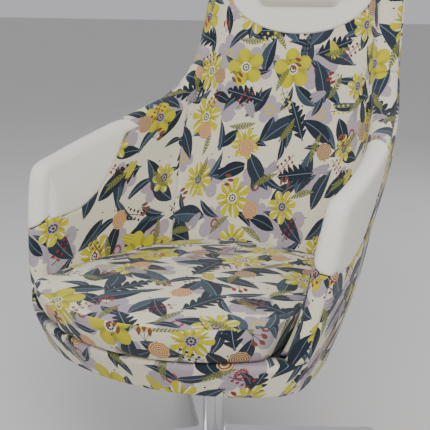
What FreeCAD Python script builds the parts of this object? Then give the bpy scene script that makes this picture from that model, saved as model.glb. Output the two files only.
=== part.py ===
"""Swivel armchair: a padded tub body with high back on a steel column and a four-arm cast base.

Millimetres, +Z up, the sitter faces -Y. The origin is the point on the floor under the swivel axis.
"""
import FreeCAD, Part
import Sketcher
import math
import os
from types import SimpleNamespace

Vector = FreeCAD.Vector
STAR_STEP = 1
CAGE_PLAY = 1
WASHER_PLAY = 1
STRAPS_BESIDE = 2
ROLL_END, ROLL_SHOULDER_IN, ROLL_SHOULDER_UP = 0.75, 0.3, 0.72
doc = FreeCAD.newDocument("SwivelArmchair")
sheet = doc.addObject("Spreadsheet::Sheet", "Sizes")
pieces = []


# Sizes

class Size:
    """A number that also remembers the formula it came from, so that features can be bound to it."""

    def __init__(self, value, text):
        self.value = float(value)
        self.text = text

    def join(self, other, mark, value, swap=False):
        """Return the result of one sum, with its formula written out."""
        near, far = self.text, other.text if isinstance(other, Size) else repr(other)
        if swap:
            near, far = far, near
        return Size(value, "(" + near + " " + mark + " " + far + ")")

    def __float__(self):
        return self.value

    def __add__(self, other):
        return self.join(other, "+", self.value + float(other))

    def __radd__(self, other):
        return self.join(other, "+", float(other) + self.value, True)

    def __sub__(self, other):
        return self.join(other, "-", self.value - float(other))

    def __rsub__(self, other):
        return self.join(other, "-", float(other) - self.value, True)

    def __mul__(self, other):
        return self.join(other, "*", self.value * float(other))

    def __rmul__(self, other):
        return self.join(other, "*", float(other) * self.value, True)

    def __truediv__(self, other):
        return self.join(other, "/", self.value / float(other))


def write_sizes(table):
    """Put each value in the sheet under its alias and return the set of sizes by name."""
    sizes = SimpleNamespace()
    for row, (alias, value, note) in enumerate(table, start=1):
        sheet.set("A%d" % row, alias)
        sheet.set("B%d" % row, str(value))
        sheet.set("C%d" % row, note)
        sheet.setAlias("B%d" % row, alias)
        setattr(sizes, alias, Size(value, "Sizes." + alias))
    doc.recompute()
    return sizes


SIZES = [
    ("gap", 0.3, "gap between pieces that lie against each other"),
    ("running_gap", 0.1, "gap round the spindle in its bushes"),
    ("fit_gap", 0.05, "gap round a piece pressed into its seat"),
    # Body outline, level by level: height, half width, rear reach, and side, corner and rear radius.
    ("foot_height", 287, "underside of the tub"),
    ("foot_half", 292, "half width at the underside"),
    ("foot_rear", 215, "rear reach at the underside"),
    ("foot_corner", 210, "rear corner radius at the underside"),
    ("foot_round", 400, "radius across the rear at the underside"),
    ("foot_side", 800, "radius along the side at the underside"),
    ("foot_front", 314, "front reach at the underside"),
    ("rail_height", 360, "top of the front rail"),
    ("rail_half", 318, "half width at the front rail"),
    ("rail_rear", 270, "rear reach at the front rail"),
    ("rail_corner", 220, "rear corner radius at the front rail"),
    ("rail_round", 440, "radius across the rear at the front rail"),
    ("rail_side", 980, "radius along the side at the front rail"),
    ("rail_front", 350, "front reach at the front rail"),
    ("seat_height", 450, "level of the seat edge"),
    ("seat_half", 345, "half width at the seat"),
    ("seat_rear", 305, "rear reach at the seat"),
    ("seat_corner", 230, "rear corner radius at the seat"),
    ("seat_round", 480, "radius across the rear at the seat"),
    ("seat_side", 1010, "radius along the side at the seat"),
    ("waist_height", 550, "level of the lower arm"),
    ("waist_half", 358, "half width at the lower arm"),
    ("waist_rear", 341, "rear reach at the lower arm"),
    ("waist_corner", 220, "rear corner radius at the lower arm"),
    ("waist_round", 560, "radius across the rear at the lower arm"),
    ("waist_side", 1300, "radius along the side at the lower arm"),
    ("arm_height", 650, "top of the arm at its front"),
    ("arm_half", 370, "half width at the arm top"),
    ("arm_rear", 378, "rear reach at the arm top"),
    ("arm_corner", 200, "rear corner radius at the arm top"),
    ("arm_round", 680, "radius across the rear at the arm top"),
    ("arm_side", 1500, "radius along the side at the arm top"),
    ("shoulder_height", 735, "top of the arm where the shoulder starts"),
    ("shoulder_half", 379, "half width at the shoulder"),
    ("shoulder_rear", 407, "rear reach at the shoulder"),
    ("shoulder_corner", 170, "rear corner radius at the shoulder"),
    ("shoulder_round", 820, "radius across the rear at the shoulder"),
    ("shoulder_side", 1380, "radius along the side at the shoulder"),
    ("neck_height", 864, "level of the narrow neck"),
    ("neck_half", 385, "half width of the outline at the neck"),
    ("neck_rear", 442, "rear reach at the neck"),
    ("neck_corner", 130, "rear corner radius at the neck"),
    ("neck_round", 1000, "radius across the rear at the neck"),
    ("neck_side", 1400, "radius along the side at the neck"),
    ("head_height", 1000, "level of the head"),
    ("head_half", 390, "half width of the outline at the head"),
    ("head_rear", 477, "rear reach at the head"),
    ("head_corner", 110, "rear corner radius at the head"),
    ("head_round", 1100, "radius across the rear at the head"),
    ("head_side", 1400, "radius along the side at the head"),
    ("crown_height", 1152, "top of the back"),
    ("crown_half", 388, "half width of the outline at the top"),
    ("crown_rear", 513, "rear reach at the top"),
    ("crown_corner", 100, "rear corner radius at the top"),
    ("crown_round", 1200, "radius across the rear at the top"),
    ("crown_side", 1400, "radius along the side at the top"),
    ("widest_back", -200, "how far behind the axis the tub is widest"),
    ("front_round", 450, "radius across the front rail"),
    ("front_step", 50, "how far the outline runs on ahead of the rail above it"),
    ("front_corner", 70, "radius at each front corner of the rail"),
    # Rim, seen from the side and from the front.
    ("arm_front", 158, "how far forward the arm top reaches"),
    ("arm_foot_front", 224, "how far forward the arm reaches at the rail"),
    ("arm_corner_round", 36, "round at the front top corner of the arm"),
    ("shoulder_back", 185, "how far back the arm top ends"),
    ("shoulder_sweep", 200, "radius of the sweep from arm to back"),
    ("neck_back", 371, "how far back the edge of the back stands at the neck"),
    ("crown_back", 448, "how far back the edge of the back stands at the top"),
    ("neck_edge", 292, "half width of the back at the neck"),
    ("crown_edge", 262, "half width of the back at the top"),
    ("crown_edge_round", 95, "round at the top corners of the back"),
    ("crown_arch", 12, "rise of the top edge at its middle"),
    # Padding.
    ("wall", 62, "thickness of the padded wall"),
    ("cover", 8, "fabric and wadding of the outer cover"),
    ("base_pad_wall", 48, "how far in the tub base pad reaches"),
    ("seam_foot", 176, "half width of the back panel at the rail"),
    ("seam_waist", 190, "half width of the back panel at the lower arm"),
    ("seam_arm", 214, "half width of the back panel at the arm top"),
    ("seam_neck", 292, "half width of the back panel at the neck"),
    ("cap_height", 545, "lower edge of the leather arm cap"),
    ("cap_back", 78, "how far back the level edge of the cap runs"),
    ("cap_lean", 0.415, "how far the rear edge of the cap leans back per unit of height"),
    ("cap_sweep", 150, "radius in the lower edge of the cap"),
    ("head_panel_half", 200, "half width of the leather head panel"),
    ("head_panel_drop", 106, "depth of the head panel below its centre"),
    ("head_panel_height", 1021, "centre height of the head panel"),
    ("head_panel_thick", 10, "thickness of the head panel"),
    ("roll_half", 112, "half width of the neck roll"),
    ("roll_radius", 46, "radius of the neck roll"),
    ("roll_height", 1020, "height of the neck roll"),
    # Seat cushion and what it lies on.
    ("cushion_front", 379, "front reach of the cushion"),
    ("cushion_front_round", 380, "radius across the cushion front"),
    ("cushion_corner", 55, "front corner radius of the cushion"),
    ("cushion_crown", 14, "rise of the crown over the edge"),
    ("cushion_draw", 42, "how far the cushion front is drawn in at its foot"),
    ("cushion_side_draw", 12, "how far the cushion sides are drawn in at their foot"),
    ("cushion_edge_round", 16, "rounding of the seat cushion's upper edge"),
    ("cushion_slope", 80, "width of the sloping border of the cushion's top"),
    ("cushion_gap", 1.5, "gap between cushion and padded wall"),
    ("strap_width", 50, "width of a webbing strap"),
    ("strap_thick", 2, "thickness of a webbing strap"),
    ("strap_pitch", 78, "distance from strap to strap"),
    ("board_thick", 18, "thickness of the seat board"),
    ("dust_thick", 1.5, "thickness of the dust cover"),
    # Steel frame in the padding.
    ("ring_room", 3.4, "room between the pad round the foot and the seat ring"),
    ("ring_tube", 22, "diameter of the seat ring tube"),
    ("back_tube", 18, "diameter of the back and arm tubes"),
    ("tube_wall", 1.5, "wall of the frame tubes"),
    ("upright_foot", 105, "half distance of the uprights at the seat ring"),
    ("upright_top", 150, "half distance of the uprights at the top"),
    ("top_rail_height", 1075, "height of the top rail"),
    ("cross_rail_height", 600, "height of the cross rail"),
    ("tube_bend", 60, "bend radius of the frame tubes"),
    # Swivel.
    ("column_outer", 50, "diameter of the column"),
    ("column_wall", 2.5, "wall of the column"),
    ("column_foot", 36, "underside of the column in the hub"),
    ("column_top", 250, "top of the column"),
    ("spindle", 28, "diameter of the spindle"),
    ("spindle_foot", 62, "lower end of the spindle"),
    ("head_width", 60, "diameter of the spindle head"),
    ("bush_length", 32, "length of a column bush"),
    ("bush_flange", 3, "flange of the upper bush"),
    ("lower_bush_foot", 72, "underside of the lower bush"),
    ("race_inner", 31, "bore of the thrust races"),
    ("race_outer", 56, "diameter of the thrust races"),
    ("race_thick", 2.5, "thickness of a thrust race"),
    ("ball", 5.9, "diameter of a bearing ball"),
    ("ball_gap", 0.05, "gap over and under each ball"),
    ("ball_ring", 43, "diameter of the ring of balls"),
    ("cage_thick", 2, "thickness of the ball cage"),
    ("washer_thick", 2.5, "thickness of the spindle washer"),
    ("clip_thick", 1.5, "thickness of the retaining ring"),
    ("groove_depth", 1.2, "depth of the groove for the retaining ring"),
    ("plate_side", 200, "side of the steel seat plate"),
    ("plate_thick", 5, "thickness of the seat plate"),
    ("plate_corner", 12, "corner radius of the seat plate"),
    ("bolt_pitch", 150, "distance from plate bolt to plate bolt"),
    ("bolt", 8, "diameter of the plate bolts"),
    ("bolt_head", 13, "width across the bolt head"),
    ("bolt_head_thick", 5.3, "height of the bolt head"),
    ("nut_barrel", 10.5, "diameter of the tee nut barrel"),
    ("nut_flange", 22, "diameter of the tee nut flange"),
    ("nut_flange_thick", 1.6, "thickness of the tee nut flange"),
    ("nut_length", 11, "length of the tee nut barrel"),
    ("bolt_spare", 2, "how far the bolt ends below the board's top"),
    # Base.
    ("star_reach", 368, "from the swivel axis to the tip of an arm"),
    ("star_turn", 38, "angle of the first arm from +X"),
    ("star_hub", 92, "diameter of the hub"),
    ("star_hub_top", 66, "top of the hub"),
    ("star_hub_foot", 14, "underside of the hub"),
    ("star_root", 56, "width of an arm at the hub"),
    ("star_tip", 42, "width of an arm at its tip"),
    ("star_tip_top", 40, "top of an arm at its tip"),
    ("star_tip_foot", 10, "underside of an arm at its tip"),
    ("star_bevel", 5, "bevel along the upper arm edges and round the hub"),
    ("star_wall", 6, "wall of the hollow arms"),
    ("hub_step", 4, "ledge in the hub under the column"),
    ("plug_thick", 8, "thickness of the hub plug"),
    ("glide_bevel", 3, "bevel at the foot of a glide"),
    ("glide_width", 34, "diameter of a floor glide"),
    ("glide_stem", 9, "diameter of the glide stem"),
    ("glide_stem_length", 14, "length of the glide stem"),
]

d = write_sizes(SIZES)
LEVELS = ("foot", "rail", "seat", "waist", "arm", "shoulder", "neck", "head", "crown")
STAR_ARMS = 4
BOLTS = 4
BALLS = 16


def mm(size):
    """Return the plain number of a size."""
    return float(size)


# Plan outlines of the body

def level_values(level):
    """Return half width, rear reach and corner, rear and side radius of a named level."""
    return [mm(getattr(d, level + "_" + name)) for name in ("half", "rear", "corner", "round", "side")]


def level_heights():
    """Return the heights of the named levels."""
    return [mm(getattr(d, level + "_height")) for level in LEVELS]


def values_at(height):
    """Return the outline's values at a height: cubic curves through the levels, straight above the last."""
    heights = level_heights()
    last = len(heights) - 1
    height = max(height, heights[0])
    upper = next((i for i in range(1, last) if height <= heights[i]), last)
    span = heights[upper] - heights[upper - 1]
    share = (height - heights[upper - 1]) / span
    columns = list(zip(*[level_values(level) for level in LEVELS]))
    found = []
    for column in columns:
        slopes = []
        for i in (upper - 1, upper):
            low, high = max(i - 1, 0), min(i + 1, last)
            slopes.append((column[high] - column[low]) / (heights[high] - heights[low]) * span)
        start, end = column[upper - 1], column[upper]
        if share > 1:
            found.append(end + slopes[1] * (share - 1))
            continue
        rise = end - start
        bend = slopes[0] + slopes[1] - 2 * rise
        found.append(start + share * (slopes[0] + share * (rise - slopes[0] - bend + share * bend)))
    return found


def steps_between(low, high):
    """Return a height, the levels and middles of levels above it, and a height above them all."""
    heights = [height for height in level_heights() if height > low]
    steps = [low]
    for height in heights:
        steps += [(steps[-1] + height) / 2, height]
    return steps + [high]


def front_reach(height):
    """Return the front reach of the whole outline at a height; above the rail it stays ahead of the arms."""
    foot, rail, seat = level_heights()[:3]
    if height < rail:
        share = max(height - foot, 0.0) / (rail - foot)
        return mm(d.foot_front) + share * mm(d.rail_front - d.foot_front)
    return mm(d.rail_front) + min(height - rail, seat - rail) / (seat - rail) * mm(d.front_step)


def circles_meet(first, first_radius, second, second_radius, rear):
    """Return the crossing of two circles that lies to the rear, or to the front."""
    between = second - first
    span = between.Length
    along = (first_radius ** 2 - second_radius ** 2 + span ** 2) / (2 * span)
    across = math.sqrt(max(first_radius ** 2 - along ** 2, 0.0))
    way = between / span
    foot = first + way * along
    side = Vector(-way.y, way.x, 0) * across
    points = sorted((foot + side, foot - side), key=lambda point: point.y)
    return points[1] if rear else points[0]


def angle_of(centre, point):
    """Return the angle of a point seen from a centre."""
    return math.atan2(point.y - centre.y, point.x - centre.x)


def on_circle(centre, radius, angle, height=0.0):
    """Return the point of a level circle at an angle."""
    return centre + Vector(radius * math.cos(angle), radius * math.sin(angle), height)


def arc_edge(centre, radius, start, end, height):
    """Return the arc about a centre between two angles, at a height."""
    middle = (start + end) / 2
    points = [on_circle(centre, radius, angle, height) for angle in (start, middle, end)]
    return Part.Arc(*points).toShape()


def half_outline(values, inset):
    """Return the right-hand arcs, side to rear, each as centre, radius, start and end angle."""
    half, rear, corner, back, side = values
    side_centre = Vector(half - side, mm(d.widest_back), 0)
    rear_centre = Vector(0, rear - back, 0)
    corner_centre = circles_meet(side_centre, side - corner, rear_centre, back - corner, True)
    turn = angle_of(side_centre, corner_centre)
    end = angle_of(rear_centre, corner_centre)
    return [
        [side_centre, side - inset, 0.0, turn],
        [corner_centre, corner - inset, turn, end],
        [rear_centre, back - inset, end, math.pi / 2],
    ]


def mirrored(arc):
    """Return the arc's twin on the left-hand side, running the same way round."""
    centre, radius, start, end = arc
    return [Vector(-centre.x, centre.y, 0), radius, math.pi - end, math.pi - start]


def closed_outline(values, height, inset, reach, front_radius, bend):
    """Return the whole outline at a height, with a rounded front of the given reach and radii."""
    side, corner, rear = half_outline(values, inset)
    front_centre = Vector(0, front_radius - reach, 0)
    bend_centre = circles_meet(side[0], values[4] - bend, front_centre, front_radius - bend, False)
    side[2] = angle_of(side[0], bend_centre)
    front_angle = angle_of(front_centre, bend_centre)
    bend_arc = [bend_centre, bend - inset, front_angle, side[2]]
    front_arc = [front_centre, front_radius - inset, -math.pi - front_angle, front_angle]
    rear[3] = math.pi - rear[2]
    arcs = [bend_arc, side, corner, rear, mirrored(corner), mirrored(side), mirrored(bend_arc), front_arc]
    return Part.Wire([arc_edge(*arc, height) for arc in arcs])


def open_outline(values, height, inset):
    """Return the outline at a height with a straight front far ahead of the arms."""
    side, corner, rear = half_outline(values, inset)
    far_front = -mm(d.cushion_front) - 2 * mm(d.wall)
    side[2] = math.asin((far_front - side[0].y) / side[1])
    rear[3] = math.pi - rear[2]
    arcs = [side, corner, rear, mirrored(corner), mirrored(side)]
    ends = [on_circle(*arcs[-1][:2], arcs[-1][3], height), on_circle(*side[:2], side[2], height)]
    return Part.Wire([arc_edge(*arc, height) for arc in arcs] + [Part.makeLine(*ends)])


def tub_outline(height, inset, bend=None):
    """Return the tub's closed outline at a height, drawn in by an inset."""
    bend = mm(d.front_corner) if bend is None else bend
    return closed_outline(values_at(height), height, inset, front_reach(height), mm(d.front_round), bend)


def body_form(inset):
    """Return the solid of the whole tub and back, drawn in by an inset."""
    heights = steps_between(mm(d.foot_height), mm(d.crown_height) + mm(d.crown_arch))
    return Part.makeLoft([tub_outline(height, inset) for height in heights], True, True)


def cavity_form(inset):
    """Return the solid of the open space between the arms and in front of the back."""
    heights = steps_between(mm(d.rail_height), mm(d.crown_height) + 2 * mm(d.crown_arch))
    return Part.makeLoft([open_outline(values_at(height), height, inset) for height in heights], True, True)


# Flat outlines with rounded corners

def rounded_edges(points, radii, closed):
    """Return lines through the points with an arc of the given radius at each corner."""
    count = len(points)
    corners = range(count) if closed else range(1, count - 1)
    entry, leave, arcs = list(points), list(points), {}
    for i in corners:
        to_last = (points[i - 1] - points[i]).normalize()
        to_next = (points[(i + 1) % count] - points[i]).normalize()
        opening = to_last.getAngle(to_next)
        reach = radii[i] / math.tan(opening / 2)
        if radii[i] > 0:
            entry[i] = points[i] + to_last * reach
            leave[i] = points[i] + to_next * reach
            inward = (to_last + to_next).normalize()
            middle = points[i] + inward * (radii[i] / math.sin(opening / 2) - radii[i])
            arcs[i] = Part.Arc(entry[i], middle, leave[i]).toShape()
    edges = []
    for i in range(count):
        if i in arcs:
            edges.append(arcs[i])
        if i < count - 1 or closed:
            edges.append(Part.makeLine(leave[i], entry[(i + 1) % count]))
    return edges


def side_prism(points, radii):
    """Return a slab across the whole width from an outline of (back, up) points."""
    reach = 2 * mm(d.shoulder_half)
    corners = [Vector(-reach, y, z) for y, z in points]
    face = Part.Face(Part.Wire(rounded_edges(corners, radii, True)))
    return face.extrude(Vector(2 * reach, 0, 0))


def front_prism(points, radii):
    """Return a slab through the whole depth from an outline of (across, up) points."""
    reach = 2 * mm(d.shoulder_half)
    corners = [Vector(x, -reach, z) for x, z in points]
    face = Part.Face(Part.Wire(rounded_edges(corners, radii, True)))
    return face.extrude(Vector(0, 2 * reach, 0))


def rim_regions():
    """Return the two slabs, seen from the side and from the front, that the padded wall stays within."""
    far = 2 * mm(d.crown_rear)
    low, high = 0.0, mm(d.crown_height) + far
    rail = mm(d.rail_height)
    lean = mm(d.crown_back - d.neck_back) / mm(d.crown_height - d.neck_height)
    rise = mm(d.shoulder_height - d.arm_height) / mm(d.shoulder_back + d.arm_front)
    # The arm top and the leaning edge of the back meet where the shoulder's sweep has its corner.
    gap = mm(d.neck_back) - mm(d.shoulder_back) - lean * mm(d.neck_height - d.shoulder_height)
    corner_back = mm(d.shoulder_back) + gap / (1 - lean * rise)
    corner_up = mm(d.shoulder_height) + rise * (corner_back - mm(d.shoulder_back))
    seen_from_side = [
        (-far, low), (far, low), (far, high),
        (mm(d.crown_back) + lean * (high - mm(d.crown_height)), high),
        (corner_back, corner_up),
        (-mm(d.arm_front), mm(d.arm_height)),
        (-mm(d.arm_foot_front), rail), (-far, rail),
    ]
    side = side_prism(seen_from_side, [0, 0, 0, 0, mm(d.shoulder_sweep), mm(d.arm_corner_round), 0, 0])
    neck, crown = mm(d.neck_edge), mm(d.crown_edge)
    top = mm(d.crown_height)
    neck_height = mm(d.neck_height)
    flare = far
    seen_from_front = [
        (-flare, low), (flare, low), (flare, mm(d.shoulder_height)), (neck, neck_height),
        (crown, top - mm(d.crown_arch)), (0, top + mm(d.crown_arch)), (-crown, top - mm(d.crown_arch)),
        (-neck, neck_height), (-flare, mm(d.shoulder_height)),
    ]
    bend = mm(d.crown_edge_round)
    arch = crown ** 2 / (4 * mm(d.crown_arch))
    front = front_prism(seen_from_front, [0, 0, 0, 0, bend, arch, bend, 0, 0])
    return side, front


# Pieces made with sketches

def origin_plane(body, role):
    """Return a body's own origin plane or axis by its role."""
    return next(item for item in body.Origin.OriginFeatures if item.Role == role)


def polygon_sketch(body, name, role, points, offset=0):
    """Return a closed sketch of straight lines whose corners are bound to sizes."""
    sketch = body.newObject("Sketcher::SketchObject", name)
    sketch.AttachmentSupport = [(origin_plane(body, role), "")]
    sketch.MapMode = "FlatFace"
    if isinstance(offset, Size):
        sketch.setExpression("AttachmentOffset.Base.z", offset.text)
    corners = [Vector(mm(u), mm(v), 0) for u, v in points]
    for i, corner in enumerate(corners):
        sketch.addGeometry(Part.LineSegment(corner, corners[(i + 1) % len(corners)]), False)
    for i in range(len(corners)):
        sketch.addConstraint(Sketcher.Constraint("Coincident", i, 2, (i + 1) % len(corners), 1))
    for i, pair in enumerate(points):
        for way, size in zip(("DistanceX", "DistanceY"), pair):
            place_corner(sketch, i, way, size)
    return sketch


def place_corner(sketch, line, way, size):
    """Hold the start of a line at a distance from the sketch's origin."""
    index = sketch.addConstraint(Sketcher.Constraint(way, -1, 1, line, 1, mm(size)))
    if isinstance(size, Size):
        sketch.setExpression("Constraints[%d]" % index, size.text)


def circle_sketch(body, name, role, across, up, radius, offset=0):
    """Return a sketch of one circle whose place and radius are bound to sizes."""
    sketch = body.newObject("Sketcher::SketchObject", name)
    sketch.AttachmentSupport = [(origin_plane(body, role), "")]
    sketch.MapMode = "FlatFace"
    if isinstance(offset, Size):
        sketch.setExpression("AttachmentOffset.Base.z", offset.text)
    sketch.addGeometry(Part.Circle(Vector(mm(across), mm(up), 0), Vector(0, 0, 1), mm(radius)), False)
    index = sketch.addConstraint(Sketcher.Constraint("Radius", 0, mm(radius)))
    sketch.setExpression("Constraints[%d]" % index, radius.text)
    for way, size in (("DistanceX", across), ("DistanceY", up)):
        index = sketch.addConstraint(Sketcher.Constraint(way, -1, 1, 0, 3, mm(size)))
        if isinstance(size, Size):
            sketch.setExpression("Constraints[%d]" % index, size.text)
    return sketch


def turned_feature(body, name, points):
    """Add a revolution about the vertical axis of a profile of (radius, height) corners."""
    sketch = polygon_sketch(body, name + "Profile", "XZ_Plane", points)
    feature = body.newObject("PartDesign::Revolution", name)
    feature.Profile = sketch
    feature.ReferenceAxis = (origin_plane(body, "Z_Axis"), [""])
    feature.Angle = 360
    return feature


def turned_piece(label, points):
    """Make a piece turned from one profile."""
    body = doc.addObject("PartDesign::Body", label)
    turned_feature(body, label + "_turning", points)
    pieces.append(body)
    return body


def padded_feature(body, name, sketch, height):
    """Add a pad upwards from a sketch."""
    feature = body.newObject("PartDesign::Pad", name)
    feature.Profile = sketch
    feature.setExpression("Length", height.text)
    return feature


def ring_profile(bore, outside, foot, top):
    """Return the profile of a plain ring."""
    return [(bore, foot), (outside, foot), (outside, top), (bore, top)]


def shaped_piece(label, shape):
    """Make a piece whose shape is worked out from the sheet's sizes."""
    piece = doc.addObject("Part::Feature", label)
    piece.Shape = shape
    pieces.append(piece)
    return piece


def copies_round(shape, count, first_angle=0.0):
    """Return separate copies of a shape, evenly turned about the swivel axis."""
    axis = Vector(0, 0, 1)
    turns = [first_angle + 360.0 * i / count for i in range(count)]
    return Part.makeCompound([shape.rotated(Vector(), axis, turn) for turn in turns])


# Base, column and swivel

def make_base_star():
    """Cast base: a turned hub with a socket and four hollow tapered arms with round tips."""
    body = doc.addObject("PartDesign::Body", "base_star")
    bore = d.column_outer / 2 - d.hub_step
    socket = d.column_outer / 2 + d.fit_gap
    hub = d.star_hub / 2
    turned_feature(body, "Hub", [
        (bore, d.star_hub_foot), (hub - d.star_bevel, d.star_hub_foot), (hub, d.star_hub_foot + d.star_bevel),
        (hub, d.star_hub_top - d.star_bevel), (hub - d.star_bevel, d.star_hub_top),
        (socket, d.star_hub_top), (socket, d.column_foot), (bore, d.column_foot),
    ])
    root = d.column_outer / 2 + d.hub_step
    tip = d.star_reach - d.star_tip / 2
    arm = body.newObject("PartDesign::AdditiveLoft", "Arm")
    arm.Profile = arm_section(body, "ArmRoot", d.star_root / 2, d.star_hub_foot, d.star_hub_top - STAR_STEP,
                              root)
    arm.Sections = [arm_section(body, "ArmTip", d.star_tip / 2, d.star_tip_foot, d.star_tip_top, tip)]
    tip_circle = circle_sketch(body, "TipCircle", "XY_Plane", tip, 0, d.star_tip / 2, d.star_tip_foot)
    round_tip = padded_feature(body, "RoundTip", tip_circle, d.star_tip_top - d.star_tip_foot)
    hollow = body.newObject("PartDesign::SubtractiveLoft", "ArmHollow")
    hollow.Profile = hollow_section(body, "HollowRoot", d.star_root / 2, d.star_hub_foot, d.star_hub_top,
                                    hub + d.star_wall)
    hollow.Sections = [hollow_section(body, "HollowTip", d.star_tip / 2, d.star_tip_foot, d.star_tip_top,
                                      d.star_reach - d.star_tip)]
    stem_circle = circle_sketch(body, "StemCircle", "XY_Plane", tip, 0, d.glide_stem / 2 + d.fit_gap,
                                d.star_tip_foot)
    stem_hole = body.newObject("PartDesign::Pocket", "StemHole")
    stem_hole.Profile = stem_circle
    stem_hole.Reversed = True
    stem_hole.setExpression("Length", (d.glide_stem_length + d.gap).text)
    pattern = body.newObject("PartDesign::PolarPattern", "Arms")
    pattern.Originals = [arm, round_tip, hollow, stem_hole]
    pattern.Axis = (origin_plane(body, "Z_Axis"), [""])
    pattern.Angle = 360
    pattern.Occurrences = STAR_ARMS
    body.Tip = pattern
    body.Placement = FreeCAD.Placement(Vector(), FreeCAD.Rotation(Vector(0, 0, 1), mm(d.star_turn)))
    pieces.append(body)
    return body


def arm_section(body, name, half, foot, top, reach):
    """Return the bevelled section of a base arm, standing across the arm at a reach."""
    points = [
        (-1 * half, foot), (half, foot), (half, top - d.star_bevel), (half - d.star_bevel, top),
        (d.star_bevel - half, top), (-1 * half, top - d.star_bevel),
    ]
    return polygon_sketch(body, name, "YZ_Plane", points, reach)


def hollow_section(body, name, half, foot, top, reach):
    """Return the section of the hollow under a base arm, one wall inside the arm."""
    inner = half - d.star_wall
    points = [
        (-1 * inner, foot - d.star_wall), (inner, foot - d.star_wall),
        (inner, top - 2 * d.star_wall), (-1 * inner, top - 2 * d.star_wall),
    ]
    return polygon_sketch(body, name, "YZ_Plane", points, reach)


def make_glides():
    """Plastic floor glides, one under the tip of each base arm."""
    names = ("rear_right_glide", "rear_left_glide", "front_left_glide", "front_right_glide")
    radius, stem = d.glide_width / 2, d.glide_stem / 2
    stem_top = d.star_tip_foot + d.glide_stem_length
    reach = mm(d.star_reach - d.star_tip / 2)
    for i, name in enumerate(names):
        glide = turned_piece(name, [
            (0, 0), (radius - d.glide_bevel, 0), (radius, d.glide_bevel), (radius, d.star_tip_foot),
            (stem, d.star_tip_foot), (stem, stem_top), (0, stem_top),
        ])
        turn = math.radians(mm(d.star_turn) + 360.0 * i / STAR_ARMS)
        glide.Placement = FreeCAD.Placement(on_circle(Vector(), reach, turn), FreeCAD.Rotation())


def make_column():
    """Column tube pressed into the hub, its two bushes, and the plug under the hub."""
    outside = d.column_outer / 2
    bore = outside - d.column_wall
    turned_piece("column_tube", ring_profile(bore, outside, d.column_foot, d.column_top))
    shaft_bore = d.spindle / 2 + d.running_gap
    sleeve = bore - d.fit_gap
    lower_top = d.lower_bush_foot + d.bush_length
    turned_piece("lower_bush", ring_profile(shaft_bore, sleeve, d.lower_bush_foot, lower_top))
    turned_piece("upper_bush", [
        (shaft_bore, d.column_top - d.bush_length), (sleeve, d.column_top - d.bush_length),
        (sleeve, d.column_top), (outside, d.column_top), (outside, d.column_top + d.bush_flange),
        (shaft_bore, d.column_top + d.bush_flange),
    ])
    plug = outside - d.hub_step - d.fit_gap
    plug_top = d.star_hub_foot + d.plug_thick
    turned_piece("hub_plug", [(0, d.star_hub_foot), (plug, d.star_hub_foot), (plug, plug_top), (0, plug_top)])


def bearing_heights():
    """Return foot of the lower race, ball centre, foot of the upper race and foot of the spindle head."""
    lower = d.column_top + d.bush_flange
    centre = lower + d.race_thick + d.ball_gap + d.ball / 2
    upper = centre + d.ball / 2 + d.ball_gap
    return lower, centre, upper, upper + d.race_thick


def make_bearing():
    """Thrust bearing on the column: two races with a caged ring of balls between them."""
    lower, centre, upper, head = bearing_heights()
    bore, outside = d.race_inner / 2, d.race_outer / 2
    turned_piece("lower_race", ring_profile(bore, outside, lower, lower + d.race_thick))
    turned_piece("upper_race", ring_profile(bore, outside, upper, head))
    ball_place = Vector(mm(d.ball_ring / 2), 0, mm(centre))
    ball = Part.makeSphere(mm(d.ball / 2), ball_place)
    balls = copies_round(ball, BALLS)
    shaped_piece("bearing_balls", balls)
    foot = centre - d.cage_thick / 2
    cage = Part.makeCylinder(mm(outside - CAGE_PLAY), mm(d.cage_thick), Vector(0, 0, mm(foot)))
    cage = cage.cut(Part.makeCylinder(mm(bore + CAGE_PLAY), mm(d.cage_thick), Vector(0, 0, mm(foot))))
    pocket = Part.makeCylinder(mm(d.ball / 2 + d.running_gap), mm(d.cage_thick),
                               Vector(mm(d.ball_ring / 2), 0, mm(foot)))
    shaped_piece("ball_cage", cage.cut(copies_round(pocket, BALLS).Solids))


def make_spindle():
    """Spindle with its broad head under the seat plate, and the washer and ring that hold it down."""
    head_foot = bearing_heights()[3]
    plate_foot = d.foot_height - d.plate_thick
    shaft = d.spindle / 2
    washer_foot = d.lower_bush_foot - d.gap - d.washer_thick
    clip_top = washer_foot - d.gap
    clip_foot = clip_top - d.clip_thick
    groove = shaft - d.groove_depth
    turned_piece("spindle", [
        (0, d.spindle_foot), (shaft, d.spindle_foot), (shaft, clip_foot - d.running_gap),
        (groove, clip_foot - d.running_gap), (groove, clip_top + d.running_gap),
        (shaft, clip_top + d.running_gap), (shaft, head_foot), (d.head_width / 2, head_foot),
        (d.head_width / 2, plate_foot), (0, plate_foot),
    ])
    washer_outside = d.column_outer / 2 - d.column_wall - WASHER_PLAY
    turned_piece("spindle_washer", ring_profile(shaft + d.running_gap, washer_outside, washer_foot,
                                                washer_foot + d.washer_thick))
    turned_piece("retaining_ring", ring_profile(groove + d.fit_gap, shaft + 2 * d.groove_depth, clip_foot,
                                                clip_top))


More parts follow.
